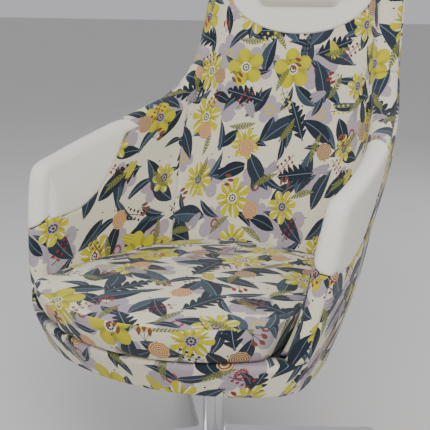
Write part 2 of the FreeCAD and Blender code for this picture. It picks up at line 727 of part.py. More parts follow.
def make_seat_plate():
    """Steel plate under the seat board, with four bolt holes."""
    body = doc.addObject("PartDesign::Body", "seat_plate")
    half, corner = d.plate_side / 2, d.plate_corner
    plate_foot = d.foot_height - d.plate_thick
    outline = polygon_sketch(body, "PlateOutline", "XY_Plane", [
        (half, corner - half), (half, half - corner), (half - corner, half), (corner - half, half),
        (-1 * half, half - corner), (-1 * half, corner - half), (corner - half, -1 * half),
        (half - corner, -1 * half),
    ], plate_foot)
    padded_feature(body, "Plate", outline, d.plate_thick)
    hole_circle = circle_sketch(body, "BoltCircle", "XY_Plane", d.bolt_pitch / 2, d.bolt_pitch / 2,
                                d.bolt / 2 + d.gap, plate_foot)
    hole = body.newObject("PartDesign::Pocket", "BoltHole")
    hole.Profile = hole_circle
    hole.Reversed = True
    hole.setExpression("Length", d.plate_thick.text)
    pattern = body.newObject("PartDesign::PolarPattern", "BoltHoles")
    pattern.Originals = [hole]
    pattern.Axis = (origin_plane(body, "Z_Axis"), [""])
    pattern.Angle = 360
    pattern.Occurrences = BOLTS
    body.Tip = pattern
    pieces.append(body)


def bolt_place(height):
    """Return the place of the first plate bolt at a height."""
    return Vector(mm(d.bolt_pitch / 2), mm(d.bolt_pitch / 2), mm(height))


def make_plate_fasteners():
    """Hexagon bolts through the seat plate, and the tee nuts in the seat board that take them."""
    plate_foot = d.foot_height - d.plate_thick
    board_top = d.foot_height + d.board_thick
    head_corner = mm(d.bolt_head) / math.sqrt(3)
    corners = [on_circle(Vector(), head_corner, math.radians(60 * i)) for i in range(7)]
    head = Part.Face(Part.makePolygon(corners)).extrude(Vector(0, 0, mm(d.bolt_head_thick)))
    head.translate(bolt_place(plate_foot - d.bolt_head_thick))
    shank_length = mm(board_top - d.bolt_spare - plate_foot)
    shank = Part.makeCylinder(mm(d.bolt / 2), shank_length, bolt_place(plate_foot))
    shaped_piece("plate_bolts", copies_round(head.fuse(shank).removeSplitter(), BOLTS))
    barrel = Part.makeCylinder(mm(d.nut_barrel / 2), mm(d.nut_length), bolt_place(board_top - d.nut_length))
    flange = Part.makeCylinder(mm(d.nut_flange / 2), mm(d.nut_flange_thick), bolt_place(board_top))
    bore = Part.makeCylinder(mm(d.bolt / 2 + d.fit_gap), mm(d.nut_length + d.nut_flange_thick),
                             bolt_place(board_top - d.nut_length))
    shaped_piece("tee_nuts", copies_round(barrel.fuse(flange).removeSplitter().cut(bore), BOLTS))


# Tub floor and steel frame

def slab(outline, foot, top):
    """Return the slab over an outline from its foot to its top."""
    face = Part.Face(outline)
    return face.extrude(Vector(0, 0, mm(top) - mm(foot)))


def without(shape, others):
    """Return a shape with others cut out of it one by one."""
    for other in others:
        shape = shape.cut(other)
    return shape


def main_solid(shape):
    """Return the largest solid of a shape, without the chips that a cut leaves at its rim."""
    return max(shape.Solids, key=lambda solid: solid.Volume)


def layer(low, high):
    """Return a block over the whole plan between two heights."""
    reach = 2 * mm(d.crown_rear)
    return Part.makeBox(2 * reach, 2 * reach, mm(high) - mm(low), Vector(-reach, -reach, mm(low)))


def floor_outline(inset, height):
    """Return the outline at a height under the rail for the pieces inside, with gently bent front corners."""
    return tub_outline(mm(height), mm(inset), mm(ring_depth() + d.tube_bend))


def make_floor():
    """Dust cover, seat board, pad round the tub's foot, and the pad on the webbing."""
    board_top = d.foot_height + d.board_thick
    board = slab(tub_outline(mm(d.foot_height), mm(d.cover + d.gap)), d.foot_height, board_top)
    hole = Part.makeCylinder(mm(d.nut_barrel / 2 + d.gap), mm(d.board_thick), bolt_place(d.foot_height))
    shaped_piece("seat_board", board.cut(copies_round(hole, BOLTS).Solids))
    dust_foot = d.foot_height - d.dust_thick
    dust = slab(tub_outline(mm(d.foot_height), mm(2 * d.cover)), d.foot_height, dust_foot)
    half = mm(d.plate_side / 2 + d.gap)
    window = Part.makeBox(2 * half, 2 * half, mm(d.dust_thick), Vector(-half, -half, mm(dust_foot)))
    shaped_piece("dust_cover", dust.cut(window))


def ring_height():
    """Return the height of the seat ring's centre, the ring standing on the board."""
    return d.foot_height + d.board_thick + d.gap + d.ring_tube / 2


def ring_depth():
    """Return how deep the seat ring's centre lies, just inside the pad round the foot."""
    return d.base_pad_wall + d.ring_room + d.ring_tube / 2


def tube_depth():
    """Return how deep the other tubes lie, against the outside of the seat ring."""
    return d.base_pad_wall + d.ring_room - d.gap - d.back_tube / 2


def straps_foot():
    """Return the underside of the webbing, lying on the seat ring."""
    return ring_height() + d.ring_tube / 2 + d.gap


def tube_along(path, diameter, spare=0.0):
    """Return the solid rod along a path, widened by a spare."""
    start = path.Edges[0]
    centre = start.valueAt(start.FirstParameter)
    way = start.tangentAt(start.FirstParameter)
    circle = Part.Wire(Part.makeCircle(mm(diameter) / 2 + spare, centre, way))
    return path.makePipeShell([circle], True, False)


def hollow_tube(path, diameter):
    """Return the tube along a path with the frame's wall."""
    return tube_along(path, diameter).cut(tube_along(path, diameter - 2 * d.tube_wall))


def side_point(height, back, inset):
    """Return the point of the right-hand outline at a height and a distance back."""
    side, corner, rear = half_outline(values_at(height), inset)
    arc = side if back <= on_circle(*side[:2], side[3]).y else corner
    centre, radius = arc[0], arc[1]
    return Vector(centre.x + math.sqrt(radius ** 2 - (back - centre.y) ** 2), back, height)


def rear_point(height, across, inset):
    """Return the point of the right-hand outline at a height and a distance from the middle."""
    side, corner, rear = half_outline(values_at(height), inset)
    arc = rear if across <= on_circle(*rear[:2], rear[2]).x else corner
    centre, radius = arc[0], arc[1]
    return Vector(across, centre.y + math.sqrt(radius ** 2 - (across - centre.x) ** 2), height)


def tube_foot():
    """Return where the paths of the uprights and arm tubes start, low enough for a flat end on the board."""
    return mm(d.foot_height + d.board_thick - d.back_tube)


def upright_point(height):
    """Return the right upright's point at a height: it spreads evenly from ring to top."""
    share = (height - mm(ring_height())) / mm(d.top_rail_height - ring_height())
    across = mm(d.upright_foot) + share * mm(d.upright_top - d.upright_foot)
    return rear_point(height, across, mm(tube_depth()))


def upright_path():
    """Return the right upright from the board to its top, bent gently at each level."""
    heights = [mm(getattr(d, level + "_height")) for level in ("seat", "arm", "neck")]
    top = mm(d.top_rail_height + d.back_tube / 2)
    points = [upright_point(height) for height in [tube_foot()] + heights + [top]]
    return Part.Wire(rounded_edges(points, [4 * mm(d.tube_bend)] * len(points), False))


def arm_tube_path():
    """Return the right arm tube: up the arm's front, along under its top and round to the upright."""
    depth = mm(tube_depth())
    rise = mm(d.shoulder_height - d.arm_height) / mm(d.shoulder_back + d.arm_front)
    front = mm(d.arm_front) - mm(d.wall) / 2
    under_top = mm(d.arm_height) - mm(d.wall)
    middle = mm(d.shoulder_back - d.arm_front) / 2
    front_back = -front - mm(d.back_tube)
    points = [side_point(tube_foot(), front_back, depth), side_point(mm(d.seat_height), front_back, depth)]
    points += [side_point(under_top + rise * (y + front), y, depth) for y in (-front, middle)]
    last_height = under_top + rise * mm(d.shoulder_back + d.arm_front)
    corner = half_outline(values_at(last_height), depth)[1]
    turn = (corner[3] - corner[2]) / 2
    points.append(on_circle(corner[0], corner[1] / math.cos(turn), corner[2] + turn, last_height))
    points.append(upright_point(last_height))
    bend = mm(d.tube_bend)
    return Part.Wire(rounded_edges(points, [0, 2 * bend, bend, 4 * bend, corner[1], 0], False))


def mirror(shape):
    """Return the left-hand twin of a shape."""
    return shape.mirror(Vector(), Vector(1, 0, 0))


def rail_path(height):
    """Return a rail's path from upright to upright, bowed like the back."""
    right = upright_point(height)
    left = Vector(-right.x, right.y, right.z)
    middle = rear_point(height, 0.0, mm(tube_depth()))
    return Part.Wire(Part.Arc(left, middle, right).toShape())


def make_frame():
    """Steel frame: seat ring, two uprights with two rails, and a tube in each arm.

    Returns the room the padding leaves for the right-hand upright and arm tube, and for the rails.
    """
    ring = floor_outline(ring_depth(), ring_height())
    shaped_piece("seat_ring", hollow_tube(ring, d.ring_tube))
    upright = upright_path()
    arm = arm_tube_path()
    clear = mm(d.gap)
    whole_upright = tube_along(upright, d.back_tube)
    ring_room = tube_along(ring, d.ring_tube, clear)
    over_board = layer(d.foot_height + d.board_thick + d.gap, 2 * d.crown_height)
    upright_tube = main_solid(hollow_tube(upright, d.back_tube).cut(ring_room).common(over_board))
    arm_tube = without(hollow_tube(arm, d.back_tube), [whole_upright, ring_room]).common(over_board)
    for side, turn in (("right", lambda shape: shape), ("left", mirror)):
        shaped_piece(side + "_upright", turn(upright_tube))
        shaped_piece(side + "_arm_tube", turn(arm_tube))
    uprights = [whole_upright, mirror(whole_upright)]
    rail_room = []
    for name, height in (("top_rail", d.top_rail_height), ("cross_rail", d.cross_rail_height)):
        path = rail_path(mm(height))
        shaped_piece(name, hollow_tube(path, d.back_tube).cut(uprights))
        rail_room.append(tube_along(path, d.back_tube, clear))
    return [tube_along(upright, d.back_tube, clear), tube_along(arm, d.back_tube, clear)], rail_room


def make_webbing(tubes):
    """Webbing: straps from front to rear on the seat ring, cross straps over them, and the deck pad."""
    foot, inset = straps_foot(), d.base_pad_wall + 3 * d.gap
    width, pitch = mm(d.strap_width), mm(d.strap_pitch)
    reach = mm(d.rail_front + d.rail_rear)
    lengthwise, across = [], []
    for i in range(-STRAPS_BESIDE, STRAPS_BESIDE + 1):
        lengthwise.append(Part.makeBox(width, 2 * reach, mm(d.strap_thick),
                                       Vector(i * pitch - width / 2, -reach, mm(foot))))
        middle = (mm(d.rail_rear) - mm(d.rail_front)) / 2
        across.append(Part.makeBox(2 * reach, width, mm(d.strap_thick),
                                   Vector(-reach, middle + i * pitch - width / 2,
                                          mm(foot + d.strap_thick + d.gap))))
    upper = foot + d.strap_thick + d.gap
    lower_room = without(slab(floor_outline(inset, foot), foot, upper), tubes)
    upper_room = without(slab(floor_outline(inset, upper), upper, upper + d.strap_thick), tubes)
    shaped_piece("seat_straps", Part.makeCompound([strap.common(lower_room) for strap in lengthwise]))
    shaped_piece("cross_straps", Part.makeCompound([strap.common(upper_room) for strap in across]))
    deck_foot = upper + d.strap_thick + d.gap
    deck = slab(floor_outline(inset, deck_foot), deck_foot, d.rail_height)
    shaped_piece("deck_pad", without(deck, tubes))


# Padding and covers

def back_zone():
    """Return the slab, seen from the front, of the panel between the two seams."""
    top = mm(d.crown_height + d.crown_rear)
    seam = [(mm(d.seam_foot), mm(d.foot_height)), (mm(d.seam_waist), mm(d.waist_height)),
            (mm(d.seam_arm), mm(d.arm_height)), (mm(d.seam_neck), mm(d.neck_height)), (mm(d.seam_neck), top)]
    corners = seam + [(-x, z) for x, z in reversed(seam)]
    return front_prism(corners, [0] * len(corners))


def cap_zone():
    """Return the slab, seen from the side, over the curved lower edge of the arm caps."""
    far, top = 2 * mm(d.crown_rear), mm(d.crown_height)
    low, back = mm(d.cap_height), mm(d.cap_back)
    corners = [(-far, low), (back, low), (back + mm(d.cap_lean) * (top - low), top), (-far, top)]
    return side_prism(corners, [0, mm(d.cap_sweep), 0, 0])


def right_half():
    """Return a block over everything to the right of the middle."""
    reach = 2 * mm(d.crown_rear)
    return Part.makeBox(reach, 2 * reach, 2 * reach, Vector(0, -reach, 0))


def make_padding(side_room, both_sides, rail_room):
    """Pads of the tub wall, leather arm caps and head panel, and the outer cover over them."""
    side, front = rim_regions()
    board_top = d.foot_height + d.board_thick + d.gap
    above = layer(d.rail_height + d.gap, 2 * d.crown_height)
    below = layer(board_top, d.rail_height)
    cavity = cavity_form(mm(d.wall))
    inner = body_form(mm(d.cover + d.gap))
    outer = body_form(0.0)
    wall = outer.cut(cavity).common(side).common(front)
    pads = wall.common(inner).common(above)
    caps, middle = cap_zone(), back_zone()
    middle_height = (d.foot_height + d.rail_height) / 2
    foot_room = Part.makeLoft([floor_outline(d.base_pad_wall, height)
                               for height in (d.foot_height, middle_height, d.rail_height)], True, True)
    base_pad = inner.cut(foot_room).common(below)
    shaped_piece("base_pad", without(base_pad, both_sides))
    panel_zone = front_ellipse()
    panel_layer = cavity_form(mm(d.wall - d.head_panel_thick)).common(panel_zone)
    head_panel = without(wall.common(panel_layer), both_sides + rail_room)
    shaped_piece("head_panel", head_panel)
    shaped_piece("back_pad", without(pads.common(middle), [panel_layer] + both_sides + rail_room))
    arm_pad = without(pads.common(right_half()), [middle, caps] + side_room)
    arm_cap = without(wall.common(caps).common(above).common(right_half()), side_room)
    for name, turn in (("right", lambda shape: shape), ("left", mirror)):
        shaped_piece(name + "_arm_pad", turn(arm_pad))
        shaped_piece(name + "_arm_cap", turn(arm_cap))
    cover = outer.cut(body_form(mm(d.cover))).common(side).common(front)
    cover_room = caps.common(above)
    shaped_piece("outer_cover", cover.cut(cover_room))
    shaped_piece("neck_roll", neck_roll(outer.cut(cavity_form(mm(d.wall + d.gap)))))


def front_ellipse():
    """Return the elliptical slab, seen from the front, of the leather head panel."""
    reach = 2 * mm(d.crown_rear)
    centre = Vector(0, -reach, mm(d.head_panel_height))
    half, drop = mm(d.head_panel_half), mm(d.head_panel_drop)
    major = centre + Vector(half, 0, 0)
    minor = centre + Vector(0, 0, drop)
    edge = Part.Ellipse(major, minor, centre).toShape()
    return Part.Face(Part.Wire(edge)).extrude(Vector(0, 2 * reach, 0))


def neck_roll(wall):
    """Return the neck roll: a bolster with round ends, flat where it lies on the head panel."""
    radius, half = mm(d.roll_radius), mm(d.roll_half)
    height = mm(d.roll_height)
    face = values_at(height)[1] - mm(d.wall)
    centre = Vector(0, face + mm(d.cover), height)
    end = radius * ROLL_END
    shoulder = half - end * ROLL_SHOULDER_IN
    rise = radius * ROLL_SHOULDER_UP
    right_tip, right_top = Vector(half, 0, 0), Vector(half - end, 0, radius)
    left_tip, left_top = Vector(-half, 0, 0), Vector(end - half, 0, radius)
    profile = [
        Part.makeLine(left_tip, right_tip),
        Part.Arc(right_tip, Vector(shoulder, 0, rise), right_top).toShape(),
        Part.makeLine(right_top, left_top),
        Part.Arc(left_top, Vector(-shoulder, 0, rise), left_tip).toShape(),
    ]
    roll = Part.Face(Part.Wire(profile)).revolve(Vector(), Vector(1, 0, 0), 360)
    roll.translate(centre)
    return roll.cut(wall)


def cushion_outline(side_draw, front_draw, height):
    """Return the cushion's outline at a height, drawn in from the wall and from its front reach."""
    inset = mm(d.wall + d.cushion_gap) + side_draw
    values = [value - inset for value in values_at(min(height, mm(d.seat_height)))]
    reach = mm(d.cushion_front) - front_draw
    radius = mm(d.cushion_front_round) - front_draw
    return closed_outline(values, height, 0.0, reach, radius, mm(d.cushion_corner))


def make_cushion():
    """Seat cushion: drawn in at its foot, fullest at the seat's edge, with a low crown."""
    foot, top = mm(d.rail_height + d.gap), mm(d.seat_height)
    bend, draw, crown = mm(d.cushion_edge_round), mm(d.cushion_draw), mm(d.cushion_crown)
    side_height = top - bend - foot
    steps = 4
    levels = []
    for i in range(steps):
        share = (1 - i / steps) ** 2
        levels.append((mm(d.cushion_side_draw) * share, draw * share, foot + side_height * i / steps))
    for i in range(steps + 1):
        angle = math.pi / 2 * i / steps
        inward = bend * (1 - math.cos(angle))
        levels.append((inward, inward, top - bend * (1 - math.sin(angle))))
    for share in (0.5, 1.0):
        inward = bend + share * mm(d.cushion_slope)
        levels.append((inward, inward, top + crown * share * (2 - share)))
    wires = [cushion_outline(*level) for level in levels]
    shaped_piece("seat_cushion", Part.makeLoft(wires, True, True))


def check_and_write():
    """Recompute, check every object and every shape, and write one file for each piece."""
    doc.recompute()
    for item in doc.Objects:
        if "Invalid" in item.State or "Error" in item.State:
            raise ValueError(item.Name + " failed to compute")
    for piece in pieces:
        if piece.Shape.isNull() or not piece.Shape.isValid():
            raise ValueError(piece.Label + " has no valid shape")
    os.makedirs("parts", exist_ok=True)
    for piece in pieces:
        piece.Shape.exportStep(os.path.join("parts", piece.Label + ".step"))


make_base_star()
make_glides()
make_column()
make_bearing()
make_spindle()
make_seat_plate()
make_plate_fasteners()
make_floor()
side_room, rail_room = make_frame()
both_sides = side_room + [mirror(room) for room in side_room]
make_webbing(both_sides)
make_padding(side_room, both_sides, rail_room)
make_cushion()
check_and_write()
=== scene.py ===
"""Swivel armchair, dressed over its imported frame: printed cloth, cream leather, polished base.

Metres, +Z up, the sitter faces -Y. The origin is the point on the floor under the swivel axis.
"""
import math

import bpy
import numpy as np
from bpy.props import FloatProperty, FloatVectorProperty, PointerProperty
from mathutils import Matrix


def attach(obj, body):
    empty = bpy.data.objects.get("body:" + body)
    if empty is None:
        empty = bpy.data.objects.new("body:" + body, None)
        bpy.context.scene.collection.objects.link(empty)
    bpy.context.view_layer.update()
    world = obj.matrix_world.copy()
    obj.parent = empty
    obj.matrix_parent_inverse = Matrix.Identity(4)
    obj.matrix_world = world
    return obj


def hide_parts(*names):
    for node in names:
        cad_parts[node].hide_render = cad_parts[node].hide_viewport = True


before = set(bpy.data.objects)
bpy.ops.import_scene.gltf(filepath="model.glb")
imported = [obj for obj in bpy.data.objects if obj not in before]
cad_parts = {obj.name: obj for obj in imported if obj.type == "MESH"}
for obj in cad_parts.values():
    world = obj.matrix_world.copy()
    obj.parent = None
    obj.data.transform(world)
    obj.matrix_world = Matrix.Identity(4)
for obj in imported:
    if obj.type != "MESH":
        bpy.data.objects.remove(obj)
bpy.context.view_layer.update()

bl_info = {
    "name": "Swivel Armchair",
    "version": (1, 0, 0),
    "blender": (4, 5, 0),
    "location": "3D View > Sidebar > Armchair",
    "description": "Dresses the frame of an upholstered swivel armchair",
    "category": "Object",
}


def slider(name, description, default, low, high, unit="LENGTH"):
    """Return a size for the sidebar with its limits."""
    return FloatProperty(name=name, description=description, default=default, min=low, max=high, unit=unit)


def swatch(name, description, *default):
    """Return a colour for the sidebar."""
    return FloatVectorProperty(name=name, description=description, default=default, size=3, min=0.0, max=1.0,
                               subtype="COLOR")


class ArmchairSizes(bpy.types.PropertyGroup):
    """Sizes of the padding that a user may change."""

    edge_roll: slider("Edge Roll", "Depth of the rounded edge of arms and back", 0.027, 0.01, 0.04)
    groove_depth: slider("Seam Depth", "How far the cover dips into a seam", 0.0026, 0.0, 0.01)
    groove_width: slider("Seam Width", "How far from a seam the cover starts to dip", 0.011, 0.002, 0.03)
    print_scale: slider("Print Scale", "Size of the printed motifs", 1.0, 0.3, 3.0, unit="NONE")


class ArmchairColours(bpy.types.PropertyGroup):
    """Colours of the cloth, the leather and the metal."""

    ground: swatch("Cloth Ground", "Ground of the printed cloth", 0.80, 0.74, 0.57)
    navy: swatch("Dark Leaf", "Dark half of the leaves", 0.004, 0.015, 0.033)
    slate: swatch("Light Leaf", "Light half of the leaves", 0.045, 0.090, 0.125)
    yellow: swatch("Yellow Flower", "Petals of the large flowers", 0.56, 0.50, 0.010)
    lilac: swatch("Lilac", "Pale flowers and flower hearts", 0.37, 0.31, 0.35)
    orange: swatch("Orange Rosette", "Small round flowers", 0.50, 0.20, 0.03)
    olive: swatch("Olive", "Stalks and wands", 0.13, 0.135, 0.03)
    red: swatch("Red Accent", "Small petals and dots", 0.26, 0.022, 0.02)
    leather: swatch("Leather", "Arm caps, head panel and neck roll", 0.77, 0.71, 0.57)
    aluminium: swatch("Aluminium", "Cast base", 0.84, 0.84, 0.85)
    chrome: swatch("Chrome", "Column", 0.72, 0.73, 0.75)


def sizes():
    """Return the sizes that the sidebar shows."""
    return bpy.context.scene.armchair_sizes


def colours():
    """Return the colours that the sidebar shows."""
    return bpy.context.scene.armchair_colours


# Plan outlines of the body

HEIGHT = np.array([0.287, 0.360, 0.450, 0.550, 0.650, 0.735, 0.864, 1.000, 1.152])
HALF = np.array([0.292, 0.318, 0.345, 0.358, 0.370, 0.379, 0.385, 0.390, 0.388])
REAR = np.array([0.215, 0.270, 0.305, 0.341, 0.378, 0.407, 0.442, 0.477, 0.513])
CORNER = np.array([0.210, 0.220, 0.230, 0.220, 0.200, 0.170, 0.130, 0.110, 0.100])
ROUND = np.array([0.400, 0.440, 0.480, 0.560, 0.680, 0.820, 1.000, 1.100, 1.200])
SIDE = np.array([0.800, 0.840, 0.880, 1.080, 1.380, 1.420, 1.470, 1.520, 1.520])
WIDEST_BACK = -0.200
FOOT, RAIL = HEIGHT[:2]
FOOT_FRONT, RAIL_FRONT = 0.314, 0.350
FRONT_ROUND, FRONT_CORNER = 0.450, 0.070
WALL = 0.062
MIDDLE = WALL / 2
PRINT_RISE = 1.08
QUARTER = math.pi / 2


def through_levels(column, z):
    """Cubic curve through the levels with averaged slopes, carried straight on above the last level."""
    slope = np.empty_like(column)
    slope[0] = (column[1] - column[0]) / (HEIGHT[1] - HEIGHT[0])
    slope[-1] = (column[-1] - column[-2]) / (HEIGHT[-1] - HEIGHT[-2])
    slope[1:-1] = (column[2:] - column[:-2]) / (HEIGHT[2:] - HEIGHT[:-2])
    i = np.clip(np.searchsorted(HEIGHT, z, side="right") - 1, 0, len(HEIGHT) - 2)
    span = HEIGHT[i + 1] - HEIGHT[i]
    t = np.clip((z - HEIGHT[i]) / span, 0, 1)
    cubic = ((2 * t ** 3 - 3 * t ** 2 + 1) * column[i] + (t ** 3 - 2 * t ** 2 + t) * span * slope[i]
             + (3 * t ** 2 - 2 * t ** 3) * column[i + 1] + (t ** 3 - t ** 2) * span * slope[i + 1])
    return cubic + np.maximum(z - HEIGHT[-1], 0) * slope[-1]


def corner_centre(side_x, side_y, side, end_y, end, corner, way):
    """Return the centre of a corner circle that touches a side circle and an end circle from inside.

    It is where two circles about their centres, smaller by the corner radius, cross; of the two crossings
    it is the one further back (way 1) or further forward (way -1). The end circle stands on the middle line.
    """
    dx, dy = -side_x, end_y - side_y
    span = np.hypot(dx, dy)
    along = ((side - corner) ** 2 - (end - corner) ** 2 + span ** 2) / (2 * span)
    across = np.sqrt(np.maximum((side - corner) ** 2 - along ** 2, 0))
    (x, y), (other_x, other_y) = ((side_x + (dx * along + turn * dy * across) / span,
                                   side_y + (dy * along - turn * dx * across) / span) for turn in (1, -1))
    other = way * (other_y - y) > 0
    return np.where(other, other_x, x), np.where(other, other_y, y)


def arcs_at(z):
    """Return the rear, corner and side arcs of the right-hand outline at heights z, the side's end open."""
    columns = HALF, REAR, CORNER, ROUND, SIDE
    half, rear, corner, back, side = (through_levels(column, z) for column in columns)
    side_x, side_y, rear_y = half - side, np.full_like(z, WIDEST_BACK), rear - back
    corner_x, corner_y = corner_centre(side_x, side_y, side, rear_y, back, corner, 1)
    turn = np.arctan2(corner_y - side_y, corner_x - side_x)
    end = np.arctan2(corner_y - rear_y, corner_x)
    return [(0 * z, rear_y, back, QUARTER + 0 * z, end), (corner_x, corner_y, corner, end, turn),
            (side_x, side_y, side, turn, np.full_like(z, -np.inf))]


def walked(arcs, length, z, inset=0.0):
    """Return the points at lengths along a row of tangent arcs, and their level outward normals.

    An arc is the x and y of its centre, its radius and its first and last angle. A negative length lies
    on the left, as far along the mirrored arcs.
    """
    gone, way = np.abs(length), np.where(length < 0, -1.0, 1.0)
    x, y, facing, passed = np.zeros((4, *gone.shape))
    for centre_x, centre_y, radius, start, stop in arcs:
        span = radius * (start - stop)
        angle = start - np.clip(gone - passed, 0, span) / radius
        here = gone >= passed
        facing = np.where(here, angle, facing)
        x = np.where(here, centre_x + (radius - inset) * np.cos(angle), x)
        y = np.where(here, centre_y + (radius - inset) * np.sin(angle), y)
        passed = passed + span
    normal = np.stack([way * np.cos(facing), np.sin(facing), np.zeros_like(facing)], -1)
    return np.stack([way * x, y, z], -1), normal


def wall_point(q, z, inset):
    """Return points of the wall and its level outward normals.

    q is the length along the outline from the middle of the back, positive to the right, z the height and
    inset the level distance in from the outline. The outline is three tangent arcs: rear, corner, side.
    """
    q, z = np.broadcast_arrays(np.asarray(q, float), np.asarray(z, float))
    return walked(arcs_at(z), q, z, inset)


def wall_at(place, inset):
    """Return points of the wall at places (q, z)."""
    return wall_point(place[..., 0], place[..., 1], inset)[0]


def length_at(x, y, z, inset=MIDDLE):
    """Return q of the outline point nearest to each (x, y, z), from a fine row of trial points."""
    trial = np.linspace(-1.1, 1.1, 4401)
    points, _ = wall_point(trial[None, :], np.asarray(z, float)[:, None], inset)
    gap = (points[..., 0] - np.asarray(x)[:, None]) ** 2 + (points[..., 1] - np.asarray(y)[:, None]) ** 2
    return trial[gap.argmin(1)]


def ring_point(length, z, inset=0.0, reach=None, front=FRONT_ROUND, corner=FRONT_CORNER, whole=False):
    """Return points and outward normals of a closed outline, and the length of its right half.

    The length is taken from the middle of the back, positive to the right, or as a share of the half
    outline with whole.
    The right half is five tangent arcs: rear, rear corner, side, front corner and front. The first three
    lie at the inset from the wall's outline and the front arc lies at the reach in front of the swivel
    axis.
    """
    length, z = np.broadcast_arrays(np.asarray(length, float), np.asarray(z, float))
    rear, rear_corner, (side_x, side_y, side, turn, _) = [
        (x, y, radius - inset, start, stop) for x, y, radius, start, stop in arcs_at(z)]
    if reach is None:
        reach = FOOT_FRONT + (z - FOOT) / (RAIL - FOOT) * (RAIL_FRONT - FOOT_FRONT)
    front_y = front - reach
    corner_x, corner_y = corner_centre(side_x, side_y, side, front_y, front, corner, -1)
    out = np.arctan2(corner_y - side_y, corner_x - side_x)
    low = np.arctan2(corner_y - front_y, corner_x)
    arcs = [rear, rear_corner, (side_x, side_y, side, turn, out),
            (corner_x, corner_y, corner + 0 * z, out, low), (0 * z, front_y, front + 0 * z, low, -QUARTER)]
    total = sum(radius * (start - stop) for _, _, radius, start, stop in arcs)
    points, normals = walked(arcs, length * total if whole else length, z)
    return points, normals, total


def half_length(z):
    """Return the length of the right half of the closed outline at heights z."""
    return ring_point(0.0, z)[2]


# Rim of arms and back

RIM = np.array([
    (0.279, -0.232, 0.320), (0.300, -0.225, 0.360), (0.318, -0.217, 0.410), (0.340, -0.208, 0.460),
    (0.352, -0.197, 0.520), (0.360, -0.182, 0.590), (0.364, -0.170, 0.630), (0.364, -0.157, 0.651),
    (0.363, -0.136, 0.661), (0.360, -0.092, 0.670), (0.352, -0.010, 0.690), (0.341, 0.080, 0.713),
    (0.329, 0.180, 0.740), (0.320, 0.262, 0.765), (0.314, 0.305, 0.789), (0.306, 0.340, 0.820),
    (0.298, 0.365, 0.856), (0.294, 0.385, 0.896), (0.294, 0.404, 0.946), (0.294, 0.420, 1.004),
    (0.290, 0.438, 1.062), (0.281, 0.454, 1.115), (0.256, 0.470, 1.146), (0.204, 0.480, 1.155),
    (0.100, 0.486, 1.160), (0.000, 0.488, 1.1615),
])
RIM_BLUR, RIM_POINTS = 0.030, 1601
SEAM_TOP = 0.842
SEAM = np.array([(0.176, 0.115, 0.360), (0.181, 0.144, 0.470), (0.190, 0.181, 0.560), (0.213, 0.224, 0.645),
                 (0.243, 0.273, 0.740), (0.256, 0.318, 0.792), (0.264, 0.345, 0.842)])


def blurred(values, step, reach):
    """Return rows of values averaged along their length over a reach, ends held in place."""
    count = max(int(reach / step) | 1, 3)
    half = count // 2
    kernel = np.hanning(count + 2)[1:-1]
    kernel /= kernel.sum()
    first, last = 2 * values[0] - values[half:0:-1], 2 * values[-1] - values[-2:-half - 2:-1]
    padded = np.concatenate([first, values, last])
    return np.stack([np.convolve(padded[:, k], kernel, "valid") for k in range(values.shape[1])], 1)


def eased(value):
    """Return a value held between 0 and 1 and made an even S-shaped rise: 3 squares less 2 cubes."""
    share = np.clip(value, 0, 1)
    return share ** 2 * (3 - 2 * share)


def read_at(at, known, line):
    """Return a line kept at known places, read at other places column by column."""
    return np.stack([np.interp(at, known, column) for column in line.T], -1)


def lengths(line):
    """Return the length along a line at each of its points."""
    return np.concatenate([[0], np.cumsum(np.hypot.reduce(np.diff(line, axis=0), axis=1))])


def even_curve(points, count, reach):
    """Return count points evenly along the smoothed polyline through points."""
    at = lengths(points)
    fine = np.linspace(0, at[-1], 3000)
    line = blurred(read_at(fine, at, points), fine[1], reach)
    at = lengths(line)
    return read_at(np.linspace(0, at[-1], count), at, line)


def rim_line():
    """Return the crest of the rim as (q, z), from the left foot over the back to the right foot."""
    q = length_at(RIM[:, 0], RIM[:, 1], RIM[:, 2])
    right = np.stack([q, RIM[:, 2]], 1)
    left = right * (-1, 1)
    return even_curve(np.concatenate([left, right[-2::-1]]), RIM_POINTS, RIM_BLUR)


